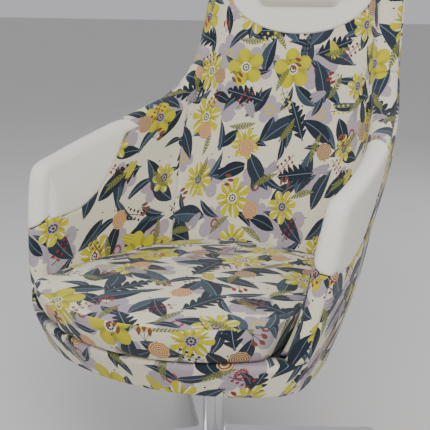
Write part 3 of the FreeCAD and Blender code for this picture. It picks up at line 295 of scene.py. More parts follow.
class Wall:
    """The padded wall of arms and back as one sheet over t, along the rim, and r, across it.

    r from 0 to 1 is the outside from foot to edge, 1 to 2 the rounded edge and 2 to 3 the inside from edge
    to rail. The edge's section is half a superellipse, fuller on the outer side, and the arms grow thinner
    towards it with the fourth power of the height. The back's faces are grids of their own.
    """

    SEAM_R = 1.22
    HEM = 0.007
    HEM_REACH = 0.022
    TIP = 0.040
    FOOT_BLEND = 0.080
    BASE_BLEND = 0.040
    TIP_TURN, TIP_FADE = 0.5, 0.3
    OUTER_POWER = 2.6
    INNER_POWER = 2.0
    THIN = 0.015
    THIN_FADE = 0.12
    ARM_FRONT_TOP = 0.652
    TIP_SHIFT_FRONT, TIP_SHIFT_MORE, TIP_SHIFT_FADE = 0.35, 0.25, 0.04
    CORE_BLUR = 41
    LEAN_AT = 20
    CORNER_AFTER = 0.02
    SEAM_BLUR, SEAM_PULL = 0.16, 6
    EDGE_LENGTH = math.pi * MIDDLE

    def __init__(self):
        crest = rim_line()
        slope = np.gradient(crest, axis=0)
        slope /= np.hypot.reduce(slope, axis=1)[:, None]
        inward = np.stack([slope[:, 1], -slope[:, 0]], 1)
        core = blurred(crest + inward * sizes().edge_roll, 1.0, self.CORE_BLUR)
        half = len(core) // 2
        start = float(np.interp(RAIL, core[:half, 1], np.arange(half)))
        at = np.linspace(start, len(core) - 1 - start, len(core))
        count = np.arange(len(core))
        self.crest, self.core = read_at(at, count, crest), read_at(at, count, core)
        self.t = np.linspace(0, 1, len(core))
        self.first = abs(self.core[0, 0])
        lean_q, lean_z = self.core[self.LEAN_AT]
        self.lean = (abs(lean_q) - self.first) / (lean_z - RAIL)
        self.length = lengths(self.crest)[-1]
        self.seam_t = float(np.interp(SEAM_TOP, self.crest[:half, 1], self.t[:half]))
        top_q, self.seam_z = np.abs(self.along(self.core, self.seam_t))
        self.front_t = float(self.t[np.argmax(self.crest[:half, 1] > self.ARM_FRONT_TOP)])
        slope = np.gradient(self.core[:half], axis=0)
        late = self.t[:half] > self.seam_t + self.CORNER_AFTER
        self.corner_t = float(self.t[:half][late][np.argmax(slope[late, 0] > slope[late, 1])])
        seam_q = length_at(SEAM[:, 0], SEAM[:, 1], SEAM[:, 2], WALL)
        self.seam_heights = np.linspace(FOOT, self.seam_z, 200)
        share = (self.seam_heights - FOOT) / (self.seam_z - FOOT)
        line = np.interp(self.seam_heights, SEAM[:-1, 2], seam_q[:-1])
        line = blurred(np.stack([share, line], 1), share[1], self.SEAM_BLUR)[:, 1]
        self.seam_line = line + share ** self.SEAM_PULL * (top_q - line[-1])

    def half_width(self, z):
        """Return q of the seam between arm and back at heights z."""
        return np.interp(z, self.seam_heights, self.seam_line)

    def first_at(self, z):
        """Return q of the arm's front edge at heights z up to the rail, in line with the edge above."""
        return self.first - self.lean * (RAIL - z)

    def along(self, line, t):
        """Return (q, z) of a line kept by t."""
        return read_at(t, self.t, line)

    def fan(self, t, v, foot):
        """Return (q, z) of an arm at share v of the way from the foot to the core of the edge.

        The way is straight, plus the bend of the seam between arm and back, less and less away from it.
        """
        t, v = np.broadcast_arrays(np.asarray(t, float), np.asarray(v, float))
        along = np.minimum(np.minimum(t, 1 - t) / self.seam_t, 1)
        core = self.along(self.core, t)
        low = self.half_width(foot)
        first = self.first_at(foot)
        start = first + (low - first) * along
        bend = self.half_width(foot + v * (self.seam_z - foot)) - low
        bend = bend - v * (self.half_width(self.seam_z) - low)
        q = start + v * (np.abs(core[..., 0]) - start) + bend * along
        return np.stack([np.where(t > 0.5, q, -q), foot + v * (core[..., 1] - foot)], -1)

    def back_plane(self, foot, side_t, top_t, rows):
        """Return (q, z) of the back as a grid from foot to top edge and from left to right.

        q is a share of the half width at each row, the share that the column has at the top edge. Heights
        are those of the side at that row, plus the top edge's rise above its corner in proportion.
        """
        side, top = self.along(self.core, side_t[1:]), self.along(self.core, top_t)
        side_z = np.concatenate([np.linspace(foot, self.seam_z, rows), side[:, 1]])
        side_q = np.concatenate([self.half_width(side_z[:rows]), np.abs(side[:, 0])])
        corner_q, corner_z = abs(top[0, 0]), top[0, 1]
        share = np.concatenate([top[:, 0], -top[-2::-1, 0]]) / corner_q
        rise = np.concatenate([top[:, 1], top[-2::-1, 1]]) - corner_z
        v = (side_z - foot) / (corner_z - foot)
        q = share[None, :] * side_q[:, None]
        return np.stack([q, side_z[:, None] + v[:, None] * rise[None, :]], -1)

    def outside(self, q, z, depth=0.0):
        """Return points of the outer face, which follows the base's round corner below the rail."""
        point, _ = wall_point(q, z, 0.0)
        base, normal, _ = ring_point(q, z)
        point = point + (base - point) * eased((RAIL + self.BASE_BLEND - z) / self.BASE_BLEND)[..., None]
        return point - normal * np.asarray(depth)[..., None]

    def hem(self, q):
        """Return rows of the hem over q: flat under the foot, then a quarter round up to the outer face."""
        turn = np.concatenate([[0], np.linspace(0, QUARTER, 7)])[:, None]
        depth = self.HEM * (1 - np.sin(turn)) + 0 * q
        depth[0] = self.HEM_REACH
        height = FOOT + self.HEM * (1 - np.cos(turn)) + 0 * q
        q = q + 0 * depth
        place = np.stack([q, (height - depth) * PRINT_RISE], -1)
        return sheet_mesh(self.outside(q, height, depth), grid_faces(*q.shape)[:, ::-1], place)

    def point(self, t, r):
        """Return the sheet's points at t and r."""
        t, r = np.broadcast_arrays(np.asarray(t, float), np.asarray(r, float))
        outer = self.fan(t, np.clip(r, 0, 1), FOOT + self.HEM)
        inner = self.fan(t, np.clip(3 - r, 0, 1), RAIL)
        outside = self.outside(outer[..., 0], outer[..., 1])
        thin = self.THIN * self.arm_share(t)
        inside = wall_at(inner, WALL - thin * np.clip(3 - r, 0, 1) ** 4)
        core, crest = self.along(self.core, t), self.along(self.crest, t)
        core_out, core_in = wall_at(core, 0.0), wall_at(core, WALL - thin)
        past = np.clip((np.minimum(t, 1 - t) - self.front_t) / self.TIP_SHIFT_FADE, 0, 1)
        outwards = thin * (self.TIP_SHIFT_FRONT + self.TIP_SHIFT_MORE * past)
        tip = wall_at(crest, MIDDLE - outwards)
        middle, across = (core_out + core_in) / 2, (core_out - core_in) / 2
        angle = np.clip(r - 1, 0, 1)[..., None] * math.pi
        power = np.where(angle < QUARTER, self.OUTER_POWER, self.INNER_POWER)
        c, h = np.cos(angle), np.sin(angle)
        fuller = (np.abs(c) ** power + np.abs(h) ** power) ** (-1 / power)
        edge = middle + across * c * fuller + (tip - middle) * h * fuller
        edge = edge + (self.foot_edge(core, r) - edge) * self.foot_share(t, r)[..., None]
        return np.where((r <= 1)[..., None], outside, np.where((r >= 2)[..., None], inside, edge))

    def arm_share(self, t):
        """Return 1 along the arms, falling in an even curve to 0 at the seam between arm and back."""
        return eased((self.seam_t - np.minimum(t, 1 - t)) / self.THIN_FADE)

    def foot_edge(self, core, r):
        """Return the base's outline level with the arm's front edge, where the arm runs into the base."""
        past = np.clip(r - 1, 0, self.TIP_TURN) / self.TIP_TURN * self.TIP
        length = (np.abs(core[..., 0]) + past) * np.where(core[..., 0] < 0, -1, 1)
        point, _, _ = ring_point(length, core[..., 1])
        return point

    def foot_share(self, t, r):
        """Return how far the front edge follows the base's outline: wholly at the rail, no more higher up."""
        height = self.along(self.core, t)[..., 1]
        turn = (r - 1 - self.TIP_TURN) / self.TIP_FADE
        return (1 - eased((height - RAIL) / self.FOOT_BLEND)) * (1 - eased(turn))

    def print_place(self, t, r, inside):
        """Return the place in the cloth: (q, z), carried on round the edge from the piece's own side."""
        t, r = np.broadcast_arrays(np.asarray(t, float), np.asarray(r, float))
        v = np.clip(3 - r, 0, 1) if inside else np.clip(r, 0, 1)
        place = self.fan(t, v, RAIL if inside else FOOT)
        core, crest = self.along(self.core, t), self.along(self.crest, t)
        way = crest - core
        way /= np.maximum(np.hypot.reduce(way, axis=-1), 1e-6)[..., None]
        round_edge = np.clip((2 - r) if inside else (r - 1), 0, 1) * self.EDGE_LENGTH
        return (place + way * round_edge[..., None]) * (1, PRINT_RISE)


# Leather caps on the arms

CAP_INSIDE = np.array([(-0.30, 0.540), (-0.182, 0.543), (-0.129, 0.546), (-0.083, 0.550), (-0.054, 0.561),
                       (-0.021, 0.578), (0.015, 0.606), (0.051, 0.642), (0.080, 0.676), (0.104, 0.712),
                       (0.130, 0.760), (0.150, 0.85)])
CAP_OUTSIDE = np.array([(-0.30, 0.519), (-0.195, 0.519), (-0.100, 0.521), (-0.050, 0.536), (-0.004, 0.560),
                        (0.045, 0.612), (0.082, 0.675), (0.098, 0.742), (0.106, 0.85)])


class Cap:
    """The part of the left arm's sheet under leather: for each t, from which r to which r it reaches."""

    FRONT_BELOW, TOP_ABOVE = 0.62, 0.66
    OUTER_END, INNER_END = 0.100, 0.146
    STEP = 0.004

    def __init__(self, wall):
        half = len(wall.t) // 2
        tip = wall_at(wall.crest[:half], MIDDLE)
        t, y, z = wall.t[:half], tip[:, 1], tip[:, 2]
        front = slice(0, int(np.argmax(z > self.FRONT_BELOW)))
        top = slice(int(np.argmax(z > self.TOP_ABOVE)), half)
        self.front_out = float(np.interp(CAP_OUTSIDE[0, 1], z[front], t[front]))
        self.front_in = float(np.interp(CAP_INSIDE[0, 1], z[front], t[front]))
        self.back_out = float(np.interp(self.OUTER_END, y[top], t[top]))
        self.back_in = float(np.interp(self.INNER_END, y[top], t[top]))
        self.t = np.linspace(self.front_out, self.back_in, 161)
        self.v_out = self.crossing(wall, CAP_OUTSIDE, FOOT + wall.HEM, 0.0)
        self.v_in = self.crossing(wall, CAP_INSIDE, RAIL, WALL)
        self.seam_r = wall.SEAM_R

    def crossing(self, wall, border, foot, inset):
        """Return, for each t, the share of the way up at which the sheet rises past the border."""
        v = np.linspace(0, 1, 400)
        points = wall_at(wall.fan(self.t[:, None], v[None, :], foot), inset)
        below = points[..., 2] < np.interp(points[..., 1], border[:, 0], border[:, 1])
        last = np.where(below.any(1), len(v) - 1 - below[:, ::-1].argmax(1), 0)
        share = blurred(np.stack([self.t, v[last]], 1), 1.0, 7)[:, 1]
        return np.clip(share, 0, 1)

    def between(self, t, start, stop):
        """Return 1 from start to stop, falling to 0 in a short step at either end."""
        return np.clip((t - start) / self.STEP, 0, 1) * np.clip((stop - t) / self.STEP, 0, 1)

    def low(self, t):
        """Return the outer end of the leather at t, up to where it comes over the edge."""
        near = self.between(t, self.front_out, self.back_out)
        return 1 - near * (1 - np.interp(t, self.t, self.v_out))

    def over(self, t):
        """Return the outer end of the leather at t where it crosses the rounded edge at the back."""
        rise = np.clip((t - self.back_out) / (self.back_in - self.back_out), 0, 1)
        return self.seam_r + (2 - self.seam_r) * rise

    def high(self, t):
        """Return the inner end of the leather at t."""
        rise = np.clip((t - self.front_out) / (self.front_in - self.front_out), 0, 1)
        edge = self.seam_r + (2 - self.seam_r) * rise
        near = self.between(t, self.front_in, self.back_in)
        return np.where(t < self.front_in, edge, 2 + near * (1 - np.interp(t, self.t, self.v_in)))


# Meshes

def grid_faces(rows, columns, closed=False):
    """Return the quads of a grid of rows by columns, closed along the columns if asked."""
    i = np.arange(rows - 1)[:, None]
    j = np.arange(columns if closed else columns - 1)[None, :]
    k = (j + 1) % columns
    quads = [i * columns + j, i * columns + k, (i + 1) * columns + k, (i + 1) * columns + j]
    return np.stack(np.broadcast_arrays(*quads), -1).reshape(-1, 4)


def sheet_mesh(points, quads, place):
    """Return one patch: flat points, quads and the places in the cloth."""
    return points.reshape(-1, 3), quads, place.reshape(-1, 2)


def joined(patches):
    """Return one patch made of several."""
    starts = np.cumsum([0] + [len(p[0]) for p in patches[:-1]])
    points, quads, place = zip(*patches)
    quads = [part + start for part, start in zip(quads, starts)]
    return np.concatenate(points), np.concatenate(quads), np.concatenate(place)


def merged(points, quads, place):
    """Return the patch with points at one place made one, and with flat quads left out."""
    key = np.round(points / 2e-5).astype(np.int64)
    _, first, back = np.unique(key, axis=0, return_index=True, return_inverse=True)
    quads = back.reshape(-1)[quads]
    folded = (quads[:, 0] == quads[:, 1]) & (quads[:, 2] == quads[:, 3])
    folded |= (quads[:, 1] == quads[:, 2]) & (quads[:, 3] == quads[:, 0])
    return points[first], quads[~folded], place[first]


def vertex_normals(points, quads):
    """Return unit normals: the sum of the faces' cross products at each point."""
    a, b, c, e = (points[quads[:, k]] for k in range(4))
    cross = np.cross(c - a, e - b)
    total = np.zeros_like(points)
    for k in range(4):
        np.add.at(total, quads[:, k], cross)
    return total / np.maximum(np.linalg.norm(total, axis=1), 1e-12)[:, None]


def distance_to(points, line):
    """Return each point's distance to the nearest point of a line."""
    nearest = np.full(len(points), 1e9)
    for start in range(0, len(line), 200):
        part = line[start:start + 200]
        gap = ((points[:, None, :] - part[None, :, :]) ** 2).sum(-1).min(1)
        nearest = np.minimum(nearest, gap)
    return np.sqrt(nearest)


def dipped(points, quads, lines, depth, width):
    """Return points moved inwards near seams: a quarter ellipse from full height to depth at the seam."""
    normals = vertex_normals(points, quads)
    away = np.full(len(points), 1e9)
    for line in lines:
        away = np.minimum(away, distance_to(points, line))
    share = np.clip(1 - away / width, 0, 1)
    return points - normals * (depth * (1 - np.sqrt(1 - share ** 2)))[:, None]


def make_object(name, patch, material, nodes):
    """Make a mesh object with its cloth places as UV map, ride it on the seat in its nodes' stead."""
    points, quads, place = patch
    mesh = bpy.data.meshes.new(name)
    triangle = (quads[:, 2] == quads[:, 3]) | (quads[:, 0] == quads[:, 1])
    faces = [list(dict.fromkeys(face)) for face in quads.tolist()] if triangle.any() else quads.tolist()
    mesh.from_pydata(points.tolist(), [], faces)
    corners = np.empty(len(mesh.loops), dtype=np.int32)
    mesh.loops.foreach_get("vertex_index", corners)
    spread_out = place[corners] if place.ndim == 2 else place
    mesh.uv_layers.new(name="Cloth").data.foreach_set("uv", spread_out.astype(np.float32).ravel())
    mesh.shade_smooth()
    mesh.update()
    mesh.materials.append(material)
    piece = bpy.data.objects.new(name, mesh)
    bpy.context.scene.collection.objects.link(piece)
    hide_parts(*nodes)
    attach(piece, "seat")
    return piece


COVER, PADDED_COVER = 0.003, 0.008


def thicken(piece, thick):
    """Give a piece a cover of that thickness, inwards."""
    cover = piece.modifiers.new("Cover", "SOLIDIFY")
    cover.thickness, cover.offset = thick, -1


# Upholstered shell

def spread(wall, t, low, high, rows):
    """Return r over rows from low to high at each t, spaced evenly along the sheet."""
    core = wall.along(wall.core, t)
    out = np.hypot(*np.moveaxis(core - wall.fan(t, 0.0, FOOT), -1, 0))
    inner = np.hypot(*np.moveaxis(core - wall.fan(t, 0.0, RAIL), -1, 0))
    inner = np.maximum(inner, 0.01)
    edge = wall.EDGE_LENGTH

    def measure(r):
        return np.clip(r, 0, 1) * out + np.clip(r - 1, 0, 1) * edge + np.clip(r - 2, 0, 1) * inner

    share = np.linspace(0, 1, rows)[:, None]
    m = measure(low) + share * (measure(high) - measure(low))
    r = np.where(m < out, m / out, 1 + (m - out) / edge)
    return np.where(m > out + edge, 2 + (m - out - edge) / inner, r)


def wall_patch(wall, columns, low, high, rows, inside):
    """Return a patch of the sheet over columns of t and rows of r, from low to high.

    These ends are numbers or functions of t.
    """
    low, high = (end(columns) if callable(end) else end + 0 * columns for end in (low, high))
    r = spread(wall, columns, low, high, rows)
    t = np.broadcast_to(columns, r.shape)
    quads = grid_faces(rows, len(columns))[:, ::-1]
    return sheet_mesh(wall.point(t, r), quads, wall.print_place(t, r, inside))


def mirrored_patch(patch):
    """Return a patch mirrored to the other side, faces turned back."""
    points, quads, place = patch
    return points * (-1, 1, 1), quads[:, ::-1], place * (-1, 1)


BEND_FADE, BEND_SHARP, BEND_MORE = 0.035, 0.001, 0.013
DECK_LIP = np.array([[0.020], [0.035]])


def front_band(wall, first, stop, place_at, columns):
    """Return a patch of the base's face on the right, between two lengths from the middle of the back.

    The profile, from the flat hem up the face and over the rounded top edge to the cushion's foot, is
    carried along the base's outline. The top edge is sharp under the arm and round under the cushion.
    """
    s = np.linspace(first, stop, columns)
    share = (s - wall.first) / (half_length(RAIL) - wall.first)
    bend = BEND_SHARP + BEND_MORE * eased((s - wall.first - wall.TIP) / BEND_FADE)
    turn = np.linspace(0, QUARTER, 6)[:, None]
    foot_depth = wall.HEM * (1 - np.cos(turn[::-1])) + 0 * s
    foot_height = FOOT + wall.HEM * (1 - np.sin(turn[::-1])) + 0 * s
    rise = np.linspace(0, 1, 16)[1:-1, None]
    face = FOOT + wall.HEM + rise * (RAIL - FOOT - wall.HEM - bend)
    over = np.linspace(0, QUARTER, 8)[:, None]
    deck = DECK_LIP + bend
    inset = np.concatenate([np.full((1, len(s)), wall.HEM_REACH), foot_depth, 0 * face,
                            bend * (1 - np.cos(over)), deck])
    height = np.concatenate([np.full((1, len(s)), FOOT), foot_height, face,
                             RAIL - bend * (1 - np.sin(over)), RAIL + 0 * deck])
    start = wall.first_at(np.minimum(height, RAIL))
    point, normal, _ = ring_point(start + share * (half_length(height) - start), height)
    place = np.stack([place_at(s) + 0 * height, height * PRINT_RISE], -1)
    quads = grid_faces(len(height), columns)[:, ::-1]
    return sheet_mesh(point - normal * inset[..., None], quads, place)


class Shell:
    """Patches of the upholstered shell and its seam lines, worked out once for all pieces.

    Each patch is made for the left half and mirrored. The print of the left arm is shifted so that it runs
    on over the base's front into the right arm.
    """

    ROWS = 90
    STEP = 0.0062

    def __init__(self):
        self.wall = wall = Wall()
        self.cap = cap = Cap(wall)
        self.total = total = half_length(RAIL)
        self.centre = wall.first + wall.EDGE_LENGTH - (total - wall.first)
        self.strip = wall.first + (wall.SEAM_R - 1) * 2 * wall.TIP
        marks = [0, cap.front_out, cap.front_in, cap.back_out, cap.back_in, wall.seam_t, wall.corner_t, 0.5]
        runs = [np.linspace(a, b, max(int(wall.length * (b - a) / self.STEP), 2) + 1)[:-1]
                for a, b in zip(marks[:-1], marks[1:])]
        self.t = np.append(np.concatenate(runs), 0.5)
        t = np.linspace(0, 0.5, 900)
        rim_seam = np.concatenate([wall.point(t[t <= cap.front_out], wall.SEAM_R),
                                   wall.point(t[t >= cap.back_out], wall.SEAM_R)])
        leather = np.linspace(cap.front_out, cap.back_in, 500)
        outside = np.linspace(cap.front_out, cap.back_out, 400)
        tail, step = np.linspace(cap.back_out, cap.back_in, 60), np.linspace(1, wall.SEAM_R, 12)
        cap_seam = np.concatenate([
            wall.point(outside, cap.low(outside)), wall.point(leather, cap.high(leather)),
            wall.point(tail, cap.over(tail)), wall.point(cap.front_out, step),
            wall.point(cap.back_out, step)])
        arm_seam = wall.point(wall.seam_t, np.linspace(wall.SEAM_R, 3, 260))
        height = np.linspace(FOOT, RAIL, 40)
        start = wall.first_at(height)
        share = (self.strip - wall.first) / (total - wall.first)
        foot_seam, _, _ = ring_point(-start - share * (half_length(height) - start), height)
        self.left_lines = [rim_seam, cap_seam, arm_seam, foot_seam]

    def lines(self, *sides):
        """Return the seam lines of the left (-1) and right (1) halves."""
        return [line * (-side, 1, 1) for side in sides for line in self.left_lines]

    def columns(self, start, stop):
        """Return the columns of t between two of the marks, the same for every piece."""
        return self.t[(self.t > start - 1e-9) & (self.t < stop + 1e-9)]

    def cover(self):
        """Return the outer cover: outside of arms and back, and the base's strips and front."""
        wall, cap = self.wall, self.cap
        foot, core, edge = 0, 1, wall.SEAM_R
        before, under = self.columns(0, cap.front_out), self.columns(cap.front_out, cap.back_out)
        after, rest = self.columns(cap.back_out, wall.seam_t), self.columns(cap.back_out, 0.5)
        left = [wall_patch(wall, part, foot, core, self.ROWS, False) for part in (before, after)]
        left += [wall_patch(wall, part, core, edge, 5, False) for part in (before, rest)]
        left.append(wall_patch(wall, under, foot, cap.low, self.ROWS, False))
        arm_foot = wall.fan(self.columns(0, wall.seam_t), 0.0, FOOT + wall.HEM)[:, 0]
        left.append(wall.hem(arm_foot))
        plane = self.back_face(FOOT + wall.HEM)
        middle = sheet_mesh(wall.outside(plane[..., 0], plane[..., 1]), grid_faces(*plane.shape[:2])[:, ::-1],
                            plane * (1, PRINT_RISE))
        back = [middle, wall.hem(plane[0, :, 0])]
        side = front_band(wall, wall.first, self.strip, lambda length: length, 5)
        right = [mirrored_patch(patch) for patch in left]
        front = front_band(wall, self.strip, self.total, lambda length: self.centre + self.total - length, 80)
        other = shifted(mirrored_patch(front), 2 * self.centre)
        return joined(left + right + back + [side, mirrored_patch(side), front, other])

    def back_face(self, foot):
        """Return the back's (q, z) grid above a foot."""
        wall = self.wall
        side, top = self.columns(wall.seam_t, wall.corner_t), self.columns(wall.corner_t, 0.5)
        return wall.back_plane(foot, side, top, self.ROWS)

    def arm(self, side):
        """Return the cloth on the inside of one arm and its front edge."""
        wall, cap = self.wall, self.cap
        foot, core, seam = 3, 2, wall.SEAM_R
        before, corner = self.columns(0, cap.front_out), self.columns(cap.front_out, cap.front_in)
        under, tail = self.columns(cap.front_in, cap.back_in), self.columns(cap.back_out, cap.back_in)
        after = self.columns(cap.back_in, wall.seam_t)
        left = [wall_patch(wall, part, core, foot, self.ROWS, True) for part in (before, corner, after)]
        left += [wall_patch(wall, part, seam, core, 14, True) for part in (before, after)]
        left += [wall_patch(wall, corner, cap.high, core, 14, True),
                 wall_patch(wall, tail, seam, cap.over, 14, True),
                 wall_patch(wall, under, cap.high, foot, self.ROWS, True)]
        if side > 0:
            return joined([mirrored_patch(patch) for patch in left])
        return joined([shifted(patch, 2 * self.centre) for patch in left])

    def leather(self, side):
        """Return the leather cap over one arm."""
        wall, cap = self.wall, self.cap
        seam = wall.SEAM_R
        outside, tail = self.columns(cap.front_out, cap.back_out), self.columns(cap.back_out, cap.back_in)
        patch = joined([wall_patch(wall, outside, cap.low, seam, 30, True),
                        wall_patch(wall, outside, seam, cap.high, 50, True),
                        wall_patch(wall, tail, cap.over, cap.high, 50, True)])
        return mirrored_patch(patch) if side > 0 else patch

    def back(self):
        """Return the cloth on the inside of the back and over its edge."""
        wall = self.wall
        core, seam = 2, wall.SEAM_R
        rim = wall_patch(wall, self.columns(wall.seam_t, 0.5), seam, core, 14, True)
        plane = self.back_face(RAIL)
        face = sheet_mesh(wall_at(plane, WALL), grid_faces(*plane.shape[:2]), plane * (1, PRINT_RISE))
        return joined([rim, mirrored_patch(rim), face])


def shifted(patch, distance):
    """Return the patch with its place in the cloth moved sideways."""
    points, quads, place = patch
    return points, quads, place + (distance, 0)


def upholstered(name, patch, lines, material, nodes, thick):
    """Make a shell piece: merge its patches, dip it at the seams and give it the cover's thickness."""
    points, quads, place = merged(*patch)
    points = dipped(points, quads, lines, sizes().groove_depth, sizes().groove_width)
    thicken(make_object(name, (points, quads, place), material, nodes), thick)


# Head panel and neck roll

HEAD_HEIGHT, HEAD_HALF, HEAD_DROP = 1.021, 0.188, 0.106
HEAD_FLAT, HEAD_RIM = 0.93, 0.07
HEAD_PROUD, HEAD_CROWN, HEAD_COVER = 0.004, 0.006, 0.006
ROLL_RADIUS, ROLL_HALF, ROLL_HEIGHT = 0.046, 0.112, 1.020
ROLL_END, ROLL_SWELL, ROLL_BOW, ROLL_CLEAR = 0.62, 0.03, -0.006, 0.004


def inner_face(x, z):
    """Return points of the back's inner face at (x, z) and their level normals, facing the sitter.

    The length along the outline is read from a coarse row of trial points, then from a fine one.
    """
    x, z = np.broadcast_arrays(np.asarray(x, float), np.asarray(z, float))
    trial = np.linspace(0, 0.6, 600)
    q = np.empty(x.shape)
    for row in np.ndindex(x.shape[:1]):
        line, _ = wall_point(trial[:, None], z[row][None, :], WALL)
        q[row] = trial[np.abs(line[..., 0] - np.abs(x[row])[None, :]).argmin(0)]
    fine = np.linspace(-0.001, 0.001, 41)
    line, _ = wall_point(q[..., None] + fine, z[..., None], WALL)
    q = q + fine[np.abs(line[..., 0] - np.abs(x)[..., None]).argmin(-1)]
    point, normal = wall_point(q * np.where(x < 0, -1, 1), z, WALL)
    return point, -normal


def head_panel_patch():
    """Return the leather ellipse on the back: concentric ellipses standing proud, rounded at the rim."""
    angle = np.linspace(0, 2 * math.pi, 181)[:-1]
    turn = np.linspace(0, QUARTER, 8)[1:]
    share = np.concatenate([np.linspace(0.02, HEAD_FLAT, 34), 1 - HEAD_RIM * np.cos(turn)])
    x = share[:, None] * HEAD_HALF * np.cos(angle)
    z = HEAD_HEIGHT + share[:, None] * HEAD_DROP * np.sin(angle)
    point, normal = inner_face(x, z)
    rim = np.clip((share - HEAD_FLAT) / HEAD_RIM, 0, 1)
    proud = HEAD_PROUD * (np.sqrt(1 - rim ** 2) - rim ** 4) + HEAD_CROWN * (1 - share ** 2)
    points = point + normal * proud[:, None, None]
    middle = points[0].mean(0)
    flat = np.concatenate([np.broadcast_to(middle, (1, len(angle), 3)), points])
    place = np.stack([flat[..., 0], flat[..., 2]], -1)
    return sheet_mesh(flat, grid_faces(len(share) + 1, len(angle), True)[:, ::-1], place)


def neck_roll_patch():
    """Return the neck roll: a bolster with domed ends, turned about a level line, sagging a little."""
    angle = np.linspace(0, 2 * math.pi, 97)[:-1]
    end = ROLL_RADIUS * ROLL_END
    dome = np.linspace(0, QUARTER, 16)
    run = np.linspace(-1, 1, 60)[1:-1] * (ROLL_HALF - end)
    left = end - ROLL_HALF - end * np.cos(dome)
    x = np.concatenate([left, run, -left[::-1]])
    radius = np.concatenate([np.sin(dome), np.ones(len(run)), np.sin(dome[::-1])]) * ROLL_RADIUS
    radius = radius * (1 + ROLL_SWELL * np.cos(x / ROLL_HALF * QUARTER))
    face, _ = inner_face(np.zeros((1, 1)), np.full((1, 1), ROLL_HEIGHT))
    bow = (x / ROLL_HALF) ** 2 * ROLL_BOW
    y = face[0, 0, 1] + ROLL_CLEAR + bow[:, None] - radius[:, None] * np.cos(angle)
    z = ROLL_HEIGHT + radius[:, None] * np.sin(angle)
    points = np.stack([np.broadcast_to(x[:, None], y.shape), y, z], -1)
    around = np.broadcast_to(angle * ROLL_RADIUS, y.shape)
    place = np.stack([points[..., 0], around], -1)
    return sheet_mesh(points, grid_faces(len(x), len(angle), True)[:, ::-1], place)


# Seat cushion

CUSHION_TOP, CUSHION_FOOT = 0.450, 0.361
CUSHION_REACH, CUSHION_ROUND, CUSHION_CORNER = 0.381, 0.380, 0.034
CUSHION_GAP = 0.0035
CUSHION_FRONT_END, CUSHION_REAR_END = 0.672, 0.215
CUSHION_ARCH = 2.4
CUSHION_CROWN, CUSHION_DRAW, CUSHION_SIDE_DRAW = 0.012, 0.034, 0.005
CUSHION_GROOVE, CUSHION_GROOVE_WIDTH = 0.002, 0.010
FILL_PRESSURE, FILL_CAP = 4.0, 0.012


def patch_between(front, right, rear, left):
    """Return a grid filled between four border lines: the sum of both rulings less the corners' plane."""
    u = np.linspace(0, 1, len(front))[None, :, None]
    v = np.linspace(0, 1, len(right))[:, None, None]
    ruled = (1 - v) * front[None] + v * rear[None] + (1 - u) * left[:, None] + u * right[:, None]
    plane = (1 - v) * ((1 - u) * front[0] + u * front[-1]) + v * ((1 - u) * rear[0] + u * rear[-1])
    return ruled - plane


def cushion_ring(share, inset, draw, height):
    """Return the cushion's outline at shares of its half length, drawn in from the wall and the front."""
    level = np.minimum(height, CUSHION_TOP)
    point, _, _ = ring_point(share, level, WALL + CUSHION_GAP + inset, CUSHION_REACH - draw,
                             CUSHION_ROUND - draw, CUSHION_CORNER, whole=True)
    point[..., 2] = height
    return point


